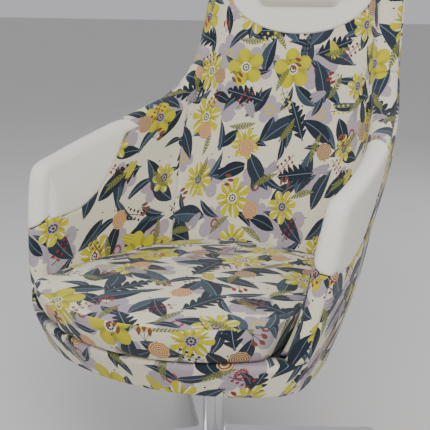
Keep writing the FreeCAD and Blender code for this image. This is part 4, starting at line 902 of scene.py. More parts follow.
def cushion_shape(across=76, deep=64, up=14):
    """Return points, quads, each corner's place in the cloth, and the index of its rings, foot first.

    The border is a boxing between two seams, drawn in towards its foot. Top and bottom are grids ruled
    between the seam's four sides, the top crowned by the product of two arches.
    """
    half_front = np.linspace(CUSHION_FRONT_END, 1, across // 2 + 1)
    front = np.concatenate([-half_front[:-1], half_front[::-1]])
    side = np.linspace(CUSHION_FRONT_END, CUSHION_REAR_END, deep)
    rear = np.linspace(-CUSHION_REAR_END, CUSHION_REAR_END, across + 1)
    around = np.concatenate([front[:-1], side[:-1], rear[::-1][:-1], -side[::-1][:-1]])
    share = np.linspace(0, 1, up)[:, None]
    lean = (1 - share) ** 2
    height = CUSHION_FOOT + share * (CUSHION_TOP - CUSHION_FOOT - CUSHION_CROWN)
    height = height + 0 * around
    rings = cushion_ring(around + 0 * share, CUSHION_SIDE_DRAW * lean, CUSHION_DRAW * lean, height)

    def grid(row):
        border = {}
        start = 0
        for name, count in (("front", across), ("right", deep - 1), ("rear", across), ("left", deep - 1)):
            border[name] = np.take(rings[row], np.arange(start, start + count + 1), axis=0, mode="wrap")
            start += count
        return patch_between(border["front"], border["right"], border["rear"][::-1], border["left"][::-1])

    top, bottom = grid(-1), grid(0)
    arch = [1 - np.abs(np.linspace(-1, 1, n)) ** CUSHION_ARCH for n in (deep, across + 1)]
    top[..., 2] += CUSHION_CROWN * np.sqrt(arch[0][:, None] * arch[1][None, :])
    rows, columns = top.shape[:2]
    index = np.arange(rows * columns).reshape(rows, columns)
    border = np.concatenate([index[0, :-1], index[:-1, -1], index[-1, :0:-1], index[:0:-1, 0]])
    count = len(border)
    middle = 2 * rows * columns + np.arange((up - 2) * count).reshape(up - 2, count)
    levels = np.concatenate([(border + rows * columns)[None], middle, border[None]])
    points = np.concatenate([top.reshape(-1, 3), bottom.reshape(-1, 3), rings[1:-1].reshape(-1, 3)])
    flat = grid_faces(rows, columns)
    k = np.roll(np.arange(count), -1)
    band = np.stack([levels[:-1], levels[:-1][:, k], levels[1:][:, k], levels[1:]], -1).reshape(-1, 4)
    quads = np.concatenate([flat, flat[:, ::-1] + rows * columns, band])
    step = np.linalg.norm(np.roll(rings[-1], -1, 0) - rings[-1], axis=1)
    length = np.concatenate([[0], np.cumsum(step)])
    low, high = length[:-1], length[1:]
    rise = height[:, 0] * PRINT_RISE
    under, above = rise[:-1, None], rise[1:, None]
    corners = np.stack([np.broadcast_arrays(*pair)
                        for pair in ((low, under), (high, under), (high, above), (low, above))])
    band_place = np.moveaxis(corners, (0, 1), (2, 3)).reshape(-1, 4, 2)
    flat_place = points[quads[:2 * len(flat)]][..., :2]
    return points, quads, np.concatenate([flat_place, band_place]), levels


def filled(name, points, quads, held, frames=20):
    """Return points after the cover is blown up by the filling: a cloth step with the seams held.

    Where the sheet wants to move further than the cap, it moves the cap's length the same way.
    """
    scene = bpy.context.scene
    mesh = bpy.data.meshes.new(name)
    mesh.from_pydata(points.tolist(), [], quads.tolist())
    trial = bpy.data.objects.new(name, mesh)
    scene.collection.objects.link(trial)
    group = trial.vertex_groups.new(name="held")
    group.add(held.tolist(), 1.0, "REPLACE")
    cloth = trial.modifiers.new("Fill", "CLOTH")
    for setting, value in {
            "quality": 6, "mass": 0.3, "tension_stiffness": 25, "compression_stiffness": 25,
            "shear_stiffness": 12, "bending_stiffness": 2.0, "use_pressure": True,
            "uniform_pressure_force": FILL_PRESSURE, "vertex_group_mass": "held"}.items():
        setattr(cloth.settings, setting, value)
    cloth.settings.effector_weights.gravity = 0
    cloth.collision_settings.use_collision = False
    for frame_number in range(1, frames + 1):
        scene.frame_set(frame_number)
    solved = trial.evaluated_get(bpy.context.evaluated_depsgraph_get())
    moved = np.empty(len(points) * 3, dtype=np.float32)
    solved.data.vertices.foreach_get("co", moved)
    scene.frame_set(1)
    bpy.data.objects.remove(trial)
    bpy.data.meshes.remove(mesh)
    way = moved.reshape(-1, 3).astype(float) - points
    far = np.linalg.norm(way, axis=1)[:, None]
    return points + way * np.minimum(1, FILL_CAP / np.maximum(far, 1e-9))


DECK = {"inset": 0.070, "reach": 0.292, "front": 0.36, "corner": 0.06}
DECK_TOP, DECK_UNDER, DECK_FALL = 0.3597, 0.3330, 0.001
DUST_INSET = 0.0165
DUST = {"inset": DUST_INSET, "reach": FOOT_FRONT - DUST_INSET, "front": 0.435, "corner": 0.06}
DUST_MIDDLE, DUST_OPENING = (0.0, -0.045, FOOT), 0.17
DUST_BELOW, DUST_SAG = 0.0008, 0.0022


def deck_patch():
    """Return the cloth-covered deck under the cushion: a low closed pad of rings about its middle."""
    share = np.linspace(-1, 1, 121)[:-1]
    ring = np.array([0.02, 0.25, 0.5, 0.75, 0.95, 1.0])[:, None]
    level, _, _ = ring_point(share, RAIL, whole=True, **DECK)
    middle = level.mean(0)
    flat = middle + (level - middle) * ring[..., None]
    top, bottom = flat.copy(), flat[::-1].copy()
    top[..., 2] = DECK_TOP - DECK_FALL * ring ** 4
    bottom[..., 2] = DECK_UNDER
    points = np.concatenate([top, bottom])
    return sheet_mesh(points, grid_faces(len(points), len(share), True), points[..., :2])


def dust_patch():
    """Return the stretched cloth under the base: rings about its middle, sagging by a share of a parabola."""
    share = np.linspace(-1, 1, 145)[:-1]
    level, _, _ = ring_point(share, FOOT, whole=True, **DUST)
    ring = np.linspace(DUST_OPENING, 1, 40)[:, None]
    flat = DUST_MIDDLE + (level - DUST_MIDDLE) * ring[..., None]
    flat[..., 2] = FOOT - DUST_BELOW - DUST_SAG * np.sin(ring * math.pi)
    return sheet_mesh(flat, grid_faces(len(ring), len(share), True)[:, ::-1], flat[..., :2])


# Materials

def joins(operation, turned=False):
    """Return a method that adds one Math node on a value and another, the other first if turned."""
    def method(self, *others):
        terms = (*others, self) if turned else (self, *others)
        return self.paint.add("Math", {"operation": operation}, dict(enumerate(terms)))
    return method


class Value:
    """A shader socket that takes part in sums: each operator adds a Math node."""

    def __init__(self, paint, socket):
        self.paint, self.socket = paint, socket

    __add__ = __radd__ = joins("ADD")
    __sub__, __rsub__ = joins("SUBTRACT"), joins("SUBTRACT", True)
    __mul__ = __rmul__ = joins("MULTIPLY")
    __truediv__, __rtruediv__ = joins("DIVIDE"), joins("DIVIDE", True)
    __pow__, __abs__ = joins("POWER"), joins("ABSOLUTE")
    __gt__, __lt__ = joins("GREATER_THAN"), joins("LESS_THAN")
    least, most = joins("MINIMUM"), joins("MAXIMUM")
    sin, cos, fraction = joins("SINE"), joins("COSINE"), joins("FRACT")
    arctan2 = joins("ARCTAN2")

    def held(self):
        """Return the value held between 0 and 1."""
        return self.paint.add("Math", {"operation": "ADD", "use_clamp": True}, {0: self, 1: 0.0})


class Paint:
    """A material under work: its nodes are added through one method."""

    def __init__(self, name):
        self.material = bpy.data.materials.new(name)
        self.material.use_nodes = True
        self.tree = self.material.node_tree
        self.shader = self.tree.nodes["Principled BSDF"]

    def add(self, kind, settings=None, inputs=None, output=0):
        """Add a node: settings first, then each socket's value or link. Several outputs give a list."""
        node = self.tree.nodes.new("ShaderNode" + kind)
        for name, value in (settings or {}).items():
            setattr(node, name, value)
        for name, value in (inputs or {}).items():
            if isinstance(value, Value):
                self.tree.links.new(value.socket, node.inputs[name])
            else:
                node.inputs[name].default_value = value
        if isinstance(output, tuple):
            return [Value(self, node.outputs[name]) for name in output]
        return Value(self, node.outputs[output])

    def finish(self, **values):
        """Set the shader's sockets, by names with underscores for spaces, and return the material."""
        for name, value in values.items():
            socket = self.shader.inputs[name.replace("_", " ").title().replace("Ior", "IOR")]
            if isinstance(value, Value):
                self.tree.links.new(value.socket, socket)
            else:
                socket.default_value = value
        return self.material

    def place(self, kind="UV"):
        """Return the coordinates as three values and as a vector."""
        vector = self.add("TexCoord", output=kind)
        return self.split(vector), vector

    def split(self, vector):
        """Return the three parts of a vector."""
        return self.add("SeparateXYZ", None, {0: vector}, ("X", "Y", "Z"))

    def vector(self, x, y, z=0.0):
        """Return a vector made of three values."""
        return self.add("CombineXYZ", None, {0: x, 1: y, 2: z})

    def blend(self, under, over, share):
        """Return one colour over another by a share."""
        inputs = {0: share, 6: opaque(under), 7: opaque(over)}
        return self.add("Mix", {"data_type": "RGBA"}, inputs, 2)

    def noise(self, vector, size, detail=2.0, rough=0.5):
        """Return noise from 0 to 1 at features of the given size in metres."""
        inputs = {"Vector": vector, "Scale": 1.0 / size, "Detail": detail, "Roughness": rough}
        return self.add("TexNoise", None, inputs, "Fac")

    def cells(self, vector, size, feature="F1"):
        """Return the distance pattern of scattered cells of the given size in metres."""
        inputs = {"Vector": vector, "Scale": 1.0 / size}
        return self.add("TexVoronoi", {"feature": feature}, inputs, "Distance")

    def bump(self, height, depth, strength=1.0):
        """Return the normal of a height field from 0 to 1, as deep as depth in metres."""
        return self.add("Bump", None, {"Height": height, "Distance": depth, "Strength": strength})


def shade_of(colour, factor, lift=0.0):
    """Return a colour times a factor, lifted by a little, no part of it above 1."""
    return tuple(min(1.0, c * factor + lift) for c in colour)


def opaque(colour):
    """Return a colour with full alpha, or a link as it is."""
    return colour if isinstance(colour, Value) else (*colour[:3], 1.0)


SOFT_EDGE = 0.0005


def within(distance):
    """Return 1 where a distance in metres is below nought, with a soft edge."""
    return (distance * (-1.0 / SOFT_EDGE) + 0.5).held()


class Print:
    """The printed flowers: motifs scattered over the cloth, one layer over the other."""

    def __init__(self, paint, u, v):
        self.paint, self.u, self.v = paint, u, v
        self.place = paint.vector(u, v)
        self.wobble = (paint.noise(self.place, 0.009, detail=1.0) - 0.5) * 0.0036

    def scatter(self, spacing, seed, loose=0.55):
        """Return each motif's own x and y in metres, turned at random, and three random numbers."""
        paint = self.paint
        p = paint.vector(self.u / spacing + seed * 7.31, self.v / spacing + seed * 3.77)
        spot, colour = paint.add("TexVoronoi", {"voronoi_dimensions": "2D"},
                                 {"Vector": p, "Scale": 1.0, "Randomness": loose}, ("Position", "Color"))
        away = paint.add("VectorMath", {"operation": "SUBTRACT"}, {0: p, 1: spot})
        dx, dy, _ = paint.split(away)
        first, second, third = paint.split(colour)
        turn = first * (2 * math.pi)
        c, s = turn.cos(), turn.sin()
        return (dx * c + dy * s) * spacing, (dy * c - dx * s) * spacing, (first, second, third)

    def leaf(self, x, y, long, wide, bend=0.0):
        """Return a pointed leaf's mask and its bent x: half width falls with the square of the length."""
        t = y * (1.0 / long)
        across = x + t * t * bend
        width = (1.0 - t * t) * (t * 0.3 + 1.0).most(0.2) * wide
        return within(abs(across) - width + self.wobble * 0.35), across

    def polar(self, x, y):
        """Return distance and angle about the motif's middle."""
        return (x * x + y * y) ** 0.5, y.arctan2(x)

    def petals(self, radius, angle, count, reach, dent):
        """Return a flower's mask: its reach swells and falls count times round, with a wavering edge."""
        wave = abs((angle * (count / 2)).cos()) ** 0.7
        return within(radius - (wave * dent + (1.0 - dent)) * reach + self.wobble)


def printed_cloth():
    """Return the printed cloth: scattered leaves and flowers on a cream canvas of fine ribs, with painted
    shade between the ribs.
    """
    paint = Paint(printed_cloth.__name__)
    hue = colours()
    (u, v, _), place = paint.place()
    scale = 1.0 / sizes().print_scale
    printed = Print(paint, u * scale, v * scale)
    blend = paint.blend
    dark = shade_of(hue.navy, 0.55)
    cream, black = hue.ground, (0.012, 0.012, 0.018)
    sky = (0.20, 0.25, 0.33)
    shade = paint.noise(printed.place, 0.004, detail=3.0)
    colour = blend(cream, shade_of(cream, 0.93), paint.noise(place, 0.12))

    # Dots
    x, y, chance = printed.scatter(0.034, seed=1, loose=0.9)
    dots = within((x * x + y * y) ** 0.5 - 0.0022 + printed.wobble * 0.3) * (chance[1] > 0.62)
    colour = blend(colour, black, dots)

    # Pale flowers with a ring of seeds
    x, y, chance = printed.scatter(0.136, seed=2)
    radius, angle = printed.polar(x, y)
    petal = printed.petals(radius, angle, 5, chance[2] * 0.024 + 0.033, 0.40)
    pale = blend(hue.lilac, shade_of(hue.lilac, 1.2), shade)
    colour = blend(colour, pale, petal)
    seeds = within(abs((angle * 8.0).sin()) * -0.003 + abs(radius - 0.0105) - 0.0006)
    seeds = seeds * (radius > 0.0065)
    colour = blend(colour, blend(hue.red, hue.yellow, chance[1] > 0.55), seeds)

    # Leaves of three kinds
    leaves = ((0.104, 3, 0.045, 0.0165, 0.006), (0.088, 4, 0.037, 0.0085, -0.008),
              (0.118, 5, 0.050, 0.0185, -0.005))
    for spacing, seed, long, wide, bend in leaves:
        x, y, chance = printed.scatter(spacing, seed, 0.5)
        size = chance[2] * 0.42 + 0.84
        mask, across = printed.leaf(x / size, y / size, long, wide, bend)
        mask = mask * (chance[1] > 0.14)
        half = blend(hue.navy, hue.slate, (across > 0.0) * (chance[1] > 0.62))
        half = blend(half, dark, shade * 0.8)
        rib = within(abs(across) - 0.0006)
        veins = within(abs(((y - abs(across) * 0.8) * 900.0).sin()) * 0.002 - 0.00035) * (chance[2] > 0.6)
        half = blend(half, sky, rib.most(veins * 0.55))
        colour = blend(colour, half, mask)

    # Fronds
    x, y, chance = printed.scatter(0.172, seed=6, loose=0.6)
    t = y / 0.055
    lobes = abs((y * 190.0 - abs(x) * 110.0).sin()) ** 0.7
    wide = (1.0 - t * t) * (lobes * 0.72 + 0.28) * 0.026
    frond = within(abs(x) - wide + printed.wobble * 0.3) * (abs(t) < 1.0) * (chance[1] > 0.15)
    colour = blend(colour, blend(hue.navy, dark, shade), frond)
    colour = blend(colour, sky, within(abs(x) - 0.0007) * frond)

    # Large yellow flowers
    x, y, chance = printed.scatter(0.150, seed=7, loose=0.6)
    radius, angle = printed.polar(x, y)
    count = (chance[0] > 0.5) * 2.0 + 5.0
    petal = printed.petals(radius, angle, count, chance[2] * 0.024 + 0.033, 0.44)
    streak = abs((angle * (count * 0.5)).sin()) ** 5.0
    gold = blend(hue.yellow, shade_of(hue.yellow, 0.62), streak)
    gold = blend(gold, cream, (radius > 0.022) * (abs((angle * 6.0).sin()) > 0.93) * (chance[0] > 0.5))
    kept = chance[1] > 0.18
    colour = blend(colour, gold, petal * kept)
    heart = within(radius - 0.0135 + printed.wobble * 1.6) * kept
    colour = blend(colour, blend(hue.lilac, cream, chance[2] > 0.6), heart)
    seeds = within(abs((angle * 4.5).sin()) * -0.0022 + abs(radius - 0.0078) - 0.0003) * kept
    colour = blend(colour, black, seeds.most(within(radius - 0.0028) * kept))

    # Striped bells
    x, y, chance = printed.scatter(0.158, seed=12, loose=0.7)
    t = (y + 0.024) / 0.046
    cup = within(abs(x) - (t.most(0.0) ** 0.6) * (1.0 - t * 0.35) * 0.021 + printed.wobble * 0.6)
    cup = cup * (t > 0.0) * (y < abs((x * 300.0).sin()) * 0.009 + 0.014) * (chance[1] > 0.35)
    bell = blend(hue.yellow, hue.lilac, chance[2] > 0.45)
    stripes = within(abs((x * 420.0).sin()) * 0.003 - 0.0009)
    bell = blend(bell, shade_of(hue.lilac, 0.5), stripes * 0.8)
    colour = blend(colour, bell, cup)

    # Feathery wands
    x, y, chance = printed.scatter(0.118, seed=8, loose=0.6)
    stalk = within(abs(x + y * y * 3.0) - 0.0011) * (abs(y) < 0.036)
    leaflets = abs((y * 420.0 - abs(x) * 300.0).sin())
    plume = within(abs(x + y * y * 3.0) - (1.0 - (y * 27.0) ** 2.0) * 0.0085) * (leaflets > 0.35)
    kept = chance[1] > 0.25
    green = blend(hue.olive, shade_of(hue.olive, 1.6), shade)
    colour = blend(colour, green, stalk.most(plume) * kept)

    # Rosettes
    x, y, chance = printed.scatter(0.165, seed=9, loose=0.6)
    radius, angle = printed.polar(x, y)
    ring = ((radius + printed.wobble * 0.6) * 210.0 + angle * 0.32).fraction()
    disc = printed.petals(radius, angle, 9, 0.0225, 0.14)
    kept = chance[1] > 0.2
    warm = blend(hue.orange, shade_of(hue.orange, 0.5), chance[2] > 0.66)
    warm = blend(warm, (0.74, 0.56, 0.36), ring > 0.66)
    colour = blend(colour, warm, disc * kept)

    # Berry twigs
    x, y, chance = printed.scatter(0.142, seed=10, loose=0.6)
    kept = chance[1] > 0.3
    stem = within(abs(x + (y * 60.0).sin() * 0.003) - 0.0009) * (abs(y) < 0.034)
    step = ((y / 0.013).fraction() - 0.5) * 0.013
    side = abs(x) - 0.0085
    berries = within((step * step + side * side) ** 0.5 - 0.0034) * (abs(y) < 0.030)
    twigs = within(abs(step + abs(x) * 0.25) - 0.0006) * (abs(x) < 0.009) * (abs(y) < 0.030)
    fruit = blend(black, blend(hue.yellow, hue.red, chance[2] > 0.5), chance[2] > 0.3)
    colour = blend(colour, black, (stem.most(twigs)) * kept)
    colour = blend(colour, fruit, berries * kept)

    # Buds in threes
    x, y, chance = printed.scatter(0.150, seed=11, loose=0.6)
    kept = chance[1] > 0.25
    buds = None
    for shift, lift in ((-0.011, 0.006), (0.0, 0.014), (0.011, 0.004)):
        bud, _ = printed.leaf(x - shift, y - lift, 0.0105, 0.0042)
        buds = bud if buds is None else buds.most(bud)
        stems = within(abs(x - (y + 0.016) * (shift / 0.022)) - 0.0006) * (y > -0.016) * (y < lift)
        colour = blend(colour, black, stems * kept)
    colour = blend(colour, blend(hue.red, (0.20, 0.055, 0.03), chance[2] > 0.5), buds * kept)

    # Ribs of the weave, with painted shade: darker towards black in the grooves between the ribs
    ribs = (v * (math.tau / 0.0019)).sin() * 0.3 + (u * (math.tau / 0.0013)).sin() * 0.2 + 0.5
    colour = blend(colour, (0.0, 0.0, 0.0), (1.0 - ribs) * 0.10)
    slub = paint.noise(place, 0.03, detail=3.0)
    height = ribs * 0.7 + paint.noise(place, 0.0016) * 0.3 + slub * 0.5
    return paint.finish(base_color=colour, roughness=slub * 0.12 + 0.78, sheen_weight=0.12,
                        sheen_roughness=0.5, normal=paint.bump(height, depth=0.0005, strength=0.6))


def cream_leather():
    """Return the leather: fine pebbles with creases between them, painted shade in the creases, a soft gloss,
    faint clouding.
    """
    paint = Paint(cream_leather.__name__)
    _, place = paint.place("Object")
    pebble = paint.cells(place, 0.0017)
    crease = paint.cells(place, 0.0024, "DISTANCE_TO_EDGE")
    cloud = paint.noise(place, 0.06, detail=3.0)
    soft = paint.noise(place, 0.018, detail=2.0)
    colour = paint.blend(colours().leather, shade_of(colours().leather, 0.92), cloud)
    # Painted shade: the leather turns darker towards the creases between the pebbles
    colour = paint.blend((0.60, 0.55, 0.44), colour, (crease * 14.0 + 0.55).least(1.0))
    height = (1.0 - pebble) * 0.25 + (crease * 5.0).least(1.0) * 0.35 + soft * 2.2
    return paint.finish(base_color=colour, roughness=cloud * 0.12 + 0.33,
                        normal=paint.bump(height, depth=0.0004, strength=0.5), specular_ior_level=0.45)


def metal(name, colour, rough, brushed=0.0, cast=0.0):
    """Return a metal: fine scratches all ways, smudges in the gloss, brush lines or a cast skin if asked."""
    paint = Paint(name)
    _, place = paint.place("Object")
    smudge = paint.noise(place, 0.035, detail=4.0)
    drawn = paint.add("Mapping", None, {"Vector": place, "Scale": (1.0, 1.0, 0.04)})
    scratch = paint.noise(drawn, 0.0012, detail=2.0)
    fine = paint.noise(place, 0.0007, detail=2.0)
    shade = paint.blend(colour, shade_of(colour, 0.86), smudge)
    gloss = smudge * (0.35 * rough + 0.03) + scratch * (0.04 + 0.2 * brushed) + rough * 0.75
    height = scratch * (0.3 + brushed) + fine * (0.2 + cast) + paint.noise(place, 0.008, detail=2.0) * cast
    return paint.finish(base_color=shade, metallic=1.0, roughness=gloss,
                        normal=paint.bump(height, depth=0.0001, strength=0.35))


def plastic(name, colour, rough, grain):
    """Return a moulded plastic with a spark-eroded grain of the given size."""
    paint = Paint(name)
    _, place = paint.place("Object")
    pits = paint.cells(place, grain)
    dust = paint.noise(place, 0.02, detail=4.0)
    shade = paint.blend(colour, shade_of(colour, 1.35, 0.01), dust)
    return paint.finish(base_color=shade, roughness=dust * 0.15 + rough,
                        normal=paint.bump(pits, depth=0.0002, strength=0.4))


def powder_coat(name, colour):
    """Return a powder coating: orange peel with a few dull rubs."""
    paint = Paint(name)
    _, place = paint.place("Object")
    peel = paint.noise(place, 0.0022, detail=2.0)
    rub = (paint.noise(place, 0.03, detail=5.0) * 5.0 - 3.0).held()
    shade = paint.blend(colour, shade_of(colour, 1.8, 0.01), rub)
    return paint.finish(base_color=shade, roughness=rub * 0.2 + 0.42,
                        normal=paint.bump(peel, depth=0.00025, strength=0.5))


def plywood():
    """Return birch plywood: long figure on the faces and glued plies across the height."""
    paint = Paint("plywood")
    (_, _, z), place = paint.place("Object")
    figure = paint.noise(paint.add("Mapping", None, {"Vector": place, "Scale": (0.12, 1.0, 1.0)}), 0.012, 5.0)
    plies = ((z * (1.0 / 0.0026)).fraction() > 0.5) * 0.35
    shade = paint.blend((0.56, 0.40, 0.23), (0.40, 0.26, 0.13), figure)
    shade = paint.blend(shade, (0.30, 0.18, 0.09), plies)
    return paint.finish(base_color=shade, roughness=figure * 0.2 + 0.5,
                        normal=paint.bump(figure, depth=0.0003, strength=0.4))


def webbing():
    """Return woven elastic webbing: ribs across and two stripes of thread, with painted shade where they sink
    and painted highlight where they stand up.
    """
    paint = Paint("webbing")
    (x, y, _), _ = paint.place("Object")
    rib = ((x + y) * (math.tau / 0.0022)).sin() * 0.5 + 0.5
    thread = ((x - y) * (math.tau / 0.0035)).sin() * 0.5 + 0.5
    # Painted shade and highlight: darker where the ribs and threads sink, lighter where they stand up
    shade = paint.blend((0.10, 0.10, 0.11), (0.30, 0.30, 0.31), rib * thread)
    return paint.finish(base_color=shade, roughness=thread * 0.1 + 0.8,
                        normal=paint.bump(rib * 0.6 + thread * 0.4, depth=0.0004, strength=0.6))


def plain_cloth(name, colour, size, depth):
    """Return a plain cloth: a fine even weave or felt with a little fluff, with painted highlight where the
    weave stands up.
    """
    paint = Paint(name)
    (x, y, _), place = paint.place("Object")
    weave = (x * (math.tau / size)).sin() * (y * (math.tau / size)).sin() * 0.5 + 0.5
    fluff = paint.noise(place, size * 3, 5.0, 0.7)
    # Painted highlight: lighter where the weave's threads stand up, and lighter too with the fluff
    shade = paint.blend(colour, shade_of(colour, 2.2, 0.01), weave * 0.3 + fluff * 0.5)
    return paint.finish(base_color=shade, roughness=fluff * 0.1 + 0.85,
                        normal=paint.bump(weave + fluff, depth=depth, strength=0.7))


def pale_floor():
    """Return the studio floor: a plain pale screed with faint clouding."""
    paint = Paint("floor")
    _, place = paint.place("Object")
    cloud = paint.noise(place, 0.5, detail=4.0)
    speck = paint.noise(place, 0.004, detail=3.0)
    shade = paint.blend((0.60, 0.585, 0.57), (0.67, 0.655, 0.64), cloud * 0.7 + speck * 0.3)
    return paint.finish(base_color=shade, roughness=cloud * 0.1 + 0.72,
                        normal=paint.bump(speck, depth=0.0003, strength=0.3))


def dress(node, material):
    """Give a CAD node its material."""
    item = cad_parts[node]
    item.data.materials.clear()
    item.data.materials.append(material)


def shared(make):
    """Return the material that a function makes under its own name, made once."""
    return bpy.data.materials.get(make.__name__) or make()


shell_kept = {}


def shell():
    """Return the shell, worked out once for a set of sizes."""
    key = (sizes().edge_roll, sizes().groove_depth, sizes().groove_width)
    if key not in shell_kept:
        shell_kept[key] = Shell()
    return shell_kept[key]


class ARMCHAIR_OT_cover(bpy.types.Operator):
    """Make the printed outer cover of arms, back and base"""

    bl_idname = "armchair.cover"
    bl_label = "Outer Cover"

    def execute(self, context):
        lines = shell().lines(-1, 1)
        upholstered("cover", shell().cover(), lines, shared(printed_cloth),
                    ("outer_cover", "base_pad"), COVER)
        return {"FINISHED"}


class ARMCHAIR_OT_arms(bpy.types.Operator):
    """Make the printed inner cloth and the leather cap of each arm"""

    bl_idname = "armchair.arms"
    bl_label = "Arms"

    def execute(self, context):
        cloth, leather = shared(printed_cloth), shared(cream_leather)
        for side, word in ((-1, "left"), (1, "right")):
            lines = shell().lines(side)
            upholstered(word + "_arm_inside", shell().arm(side), lines, cloth,
                        (word + "_arm_pad",), PADDED_COVER)
            upholstered(word + "_arm_leather", shell().leather(side), lines, leather,
                        (word + "_arm_cap",), PADDED_COVER)
        return {"FINISHED"}


class ARMCHAIR_OT_back(bpy.types.Operator):
    """Make the printed back with its leather head panel"""

    bl_idname = "armchair.back"
    bl_label = "Back"

    def execute(self, context):
        cloth, leather = shared(printed_cloth), shared(cream_leather)
        upholstered("back_inside", shell().back(), shell().lines(-1, 1), cloth, ("back_pad",),
                    PADDED_COVER)
        panel = make_object("head_leather", merged(*head_panel_patch()), leather, ("head_panel",))
        thicken(panel, HEAD_COVER)
        return {"FINISHED"}


class ARMCHAIR_OT_neck_roll(bpy.types.Operator):
    """Make the leather neck roll"""

    bl_idname = "armchair.neck_roll"
    bl_label = "Neck Roll"

    def execute(self, context):
        make_object("neck_bolster", merged(*neck_roll_patch()), shared(cream_leather), ("neck_roll",))
        return {"FINISHED"}


class ARMCHAIR_OT_cushion(bpy.types.Operator):
    """Make the loose seat cushion and the deck under it"""

    bl_idname = "armchair.cushion"
    bl_label = "Seat Cushion"

    def execute(self, context):
        points, quads, place, levels = cushion_shape()
        foot = np.flatnonzero(points[:, 2] < CUSHION_FOOT + 1e-4)
        held = np.unique(np.concatenate([levels[0], levels[-1], foot]))
        points = filled("cushion_fill", points, quads, held)
        seams = [points[levels[0]], points[levels[-1]]]
        fine = [read_at(np.linspace(0, len(seam), len(seam) * 3), np.arange(len(seam) + 1),
                        np.concatenate([seam, seam[:1]])) for seam in seams]
        points = dipped(points, quads, fine, CUSHION_GROOVE, CUSHION_GROOVE_WIDTH)
        cushion = make_object("cushion", (points, quads, place), shared(printed_cloth), ("seat_cushion",))
        finer = cushion.modifiers.new("Smooth", "SUBSURF")
        finer.levels = finer.render_levels = 1
        cloth = plain_cloth("deck_cloth", (0.035, 0.035, 0.04), 0.0012, 0.0004)
        make_object("deck", merged(*deck_patch()), cloth, ("deck_pad",))
        return {"FINISHED"}


class ARMCHAIR_OT_dust_sheet(bpy.types.Operator):
    """Make the cloth stretched under the base"""

    bl_idname = "armchair.dust_sheet"
    bl_label = "Dust Sheet"

    def execute(self, context):
        points, quads, _ = patch = merged(*dust_patch())
        cloth = plain_cloth("dust_cloth", (0.012, 0.012, 0.013), 0.0008, 0.0003)
        sheet = make_object("dust_sheet", patch, cloth, ("dust_cover",))
        return {"FINISHED"}


class ARMCHAIR_OT_frame_parts(bpy.types.Operator):
    """Give the frame, the swivel and the base their finishes"""

    bl_idname = "armchair.frame_parts"
    bl_label = "Frame and Base"

    def execute(self, context):
        black = plastic("black_plastic", (0.016, 0.016, 0.017), 0.45, 0.0011)
        nylon = plastic("grey_nylon", (0.30, 0.30, 0.29), 0.38, 0.0016)
        bearing = metal("bearing_steel", (0.60, 0.60, 0.61), 0.10)
        zinc = metal("zinc_steel", (0.55, 0.56, 0.58), 0.30, brushed=0.3)
        bare = metal("frame_steel", (0.30, 0.30, 0.31), 0.38, brushed=0.5, cast=0.3)
        finishes = {
            metal("polished_aluminium", colours().aluminium, 0.13, brushed=0.05): ("base_star",),
            metal("chrome_steel", colours().chrome, 0.05): ("column_tube",),
            black: ("hub_plug", "front_left_glide", "front_right_glide", "rear_left_glide",
                    "rear_right_glide"),
            nylon: ("upper_bush", "lower_bush", "ball_cage"),
            bearing: ("upper_race", "lower_race", "bearing_balls"),
            zinc: ("spindle", "spindle_washer", "retaining_ring", "plate_bolts", "tee_nuts"),
            powder_coat("black_steel", (0.014, 0.014, 0.015)): ("seat_plate",),
            plywood(): ("seat_board",),
            bare: ("seat_ring", "left_upright", "right_upright", "left_arm_tube", "right_arm_tube",
                   "top_rail", "cross_rail"),
            webbing(): ("seat_straps", "cross_straps"),
        }
        for material, nodes in finishes.items():
            for node in nodes:
                dress(node, material)
        return {"FINISHED"}


class ARMCHAIR_OT_stage(bpy.types.Operator):
    """Make the floor, the lights and the camera"""

    bl_idname = "armchair.stage"
    bl_label = "Floor, Lights and Camera"

    def execute(self, context):
        scene = context.scene
        mesh = bpy.data.meshes.new("floor")
        mesh.from_pydata([(-30, -30, 0), (30, -30, 0), (30, 30, 0), (-30, 30, 0)], [], [(0, 1, 2, 3)])
        floor = bpy.data.objects.new("floor", mesh)
        mesh.materials.append(pale_floor())
        scene.collection.objects.link(floor)
        world = scene.world or bpy.data.worlds.new("World")
        scene.world = world
        world.use_nodes = True
        background = world.node_tree.nodes["Background"]
        background.inputs["Color"].default_value = SKY_COLOUR
        background.inputs["Strength"].default_value = SKY_STRENGTH
        for name, place, aim, size, power in LIGHTS:
            data = bpy.data.lights.new(name, "AREA")
            data.shape, data.size, data.energy = "DISK", size, power
            light = bpy.data.objects.new(name, data)
            light.location = place
            light.rotation_euler = aimed(place, aim)
            scene.collection.objects.link(light)
        data = bpy.data.cameras.new("camera")
        data.lens, data.sensor_width = CAMERA_LENS, CAMERA_SENSOR
        camera = bpy.data.objects.new("camera", data)
        camera.location = CAMERA_PLACE
        camera.rotation_euler = aimed(CAMERA_PLACE, CAMERA_AIM)
        scene.collection.objects.link(camera)
        scene.camera = camera
        return {"FINISHED"}


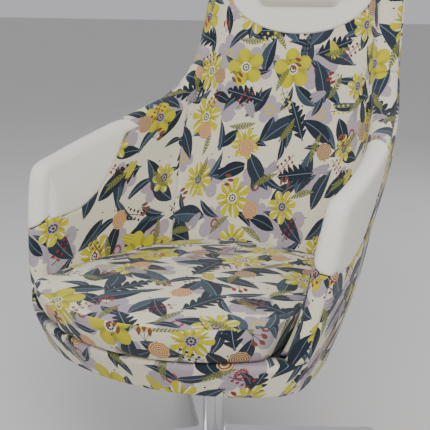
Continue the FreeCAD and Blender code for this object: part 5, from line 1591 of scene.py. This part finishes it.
SKY_COLOUR, SKY_STRENGTH = (0.80, 0.80, 0.84, 1), 0.64
LIGHTS = (("key", (1.6, -2.4, 3.2), (0, 0, 0.6), 2.6, 120), ("fill", (-3.0, -1.2, 2.0), (0, 0, 0.6), 2.4, 30),
          ("rim", (0.6, 3.0, 2.6), (0, 0, 0.8), 2.0, 35))
CAMERA_LENS, CAMERA_SENSOR = 79.14, 36
CAMERA_AZIMUTH, CAMERA_ELEVATION, CAMERA_AWAY = math.radians(30.24), math.radians(13.19), 1.992
CAMERA_AIM = (0.002 * math.cos(CAMERA_AZIMUTH), 0.002 * math.sin(CAMERA_AZIMUTH), 0.555)
CAMERA_PLACE = (CAMERA_AIM[0] + CAMERA_AWAY * math.cos(CAMERA_ELEVATION) * math.sin(CAMERA_AZIMUTH),
                CAMERA_AIM[1] - CAMERA_AWAY * math.cos(CAMERA_ELEVATION) * math.cos(CAMERA_AZIMUTH),
                CAMERA_AIM[2] + CAMERA_AWAY * math.sin(CAMERA_ELEVATION))


def aimed(place, aim):
    """Return the turn of a light or camera at place that looks at aim, level."""
    dx, dy, dz = (aim[k] - place[k] for k in range(3))
    return (math.atan2(math.hypot(dx, dy), -dz), 0, math.atan2(-dx, dy))


OPERATORS = (ARMCHAIR_OT_cover, ARMCHAIR_OT_arms, ARMCHAIR_OT_back, ARMCHAIR_OT_neck_roll,
             ARMCHAIR_OT_cushion, ARMCHAIR_OT_dust_sheet, ARMCHAIR_OT_frame_parts, ARMCHAIR_OT_stage)


class ARMCHAIR_PT_pieces(bpy.types.Panel):
    """List the chair's sizes, colours and pieces"""

    bl_label = "Swivel Armchair"
    bl_idname = "ARMCHAIR_PT_pieces"
    bl_space_type = "VIEW_3D"
    bl_region_type = "UI"
    bl_category = "Armchair"

    def draw(self, context):
        for group in (sizes(), colours()):
            box = self.layout.box()
            for name in group.__annotations__:
                box.prop(group, name)
        for operator in OPERATORS:
            self.layout.operator(operator.bl_idname)


CLASSES = (ArmchairSizes, ArmchairColours, *OPERATORS, ARMCHAIR_PT_pieces)


def register():
    """Register the classes and hang the sizes and colours on the scene."""
    for item in CLASSES:
        bpy.utils.register_class(item)
    bpy.types.Scene.armchair_sizes = PointerProperty(type=ArmchairSizes)
    bpy.types.Scene.armchair_colours = PointerProperty(type=ArmchairColours)


def unregister():
    """Take the classes and the scene's sizes and colours away."""
    del bpy.types.Scene.armchair_sizes
    del bpy.types.Scene.armchair_colours
    for item in reversed(CLASSES):
        bpy.utils.unregister_class(item)


def main():
    """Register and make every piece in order."""
    register()
    for operator in OPERATORS:
        group, name = operator.bl_idname.split(".")
        getattr(getattr(bpy.ops, group), name)()


if __name__ == "__main__":
    main()
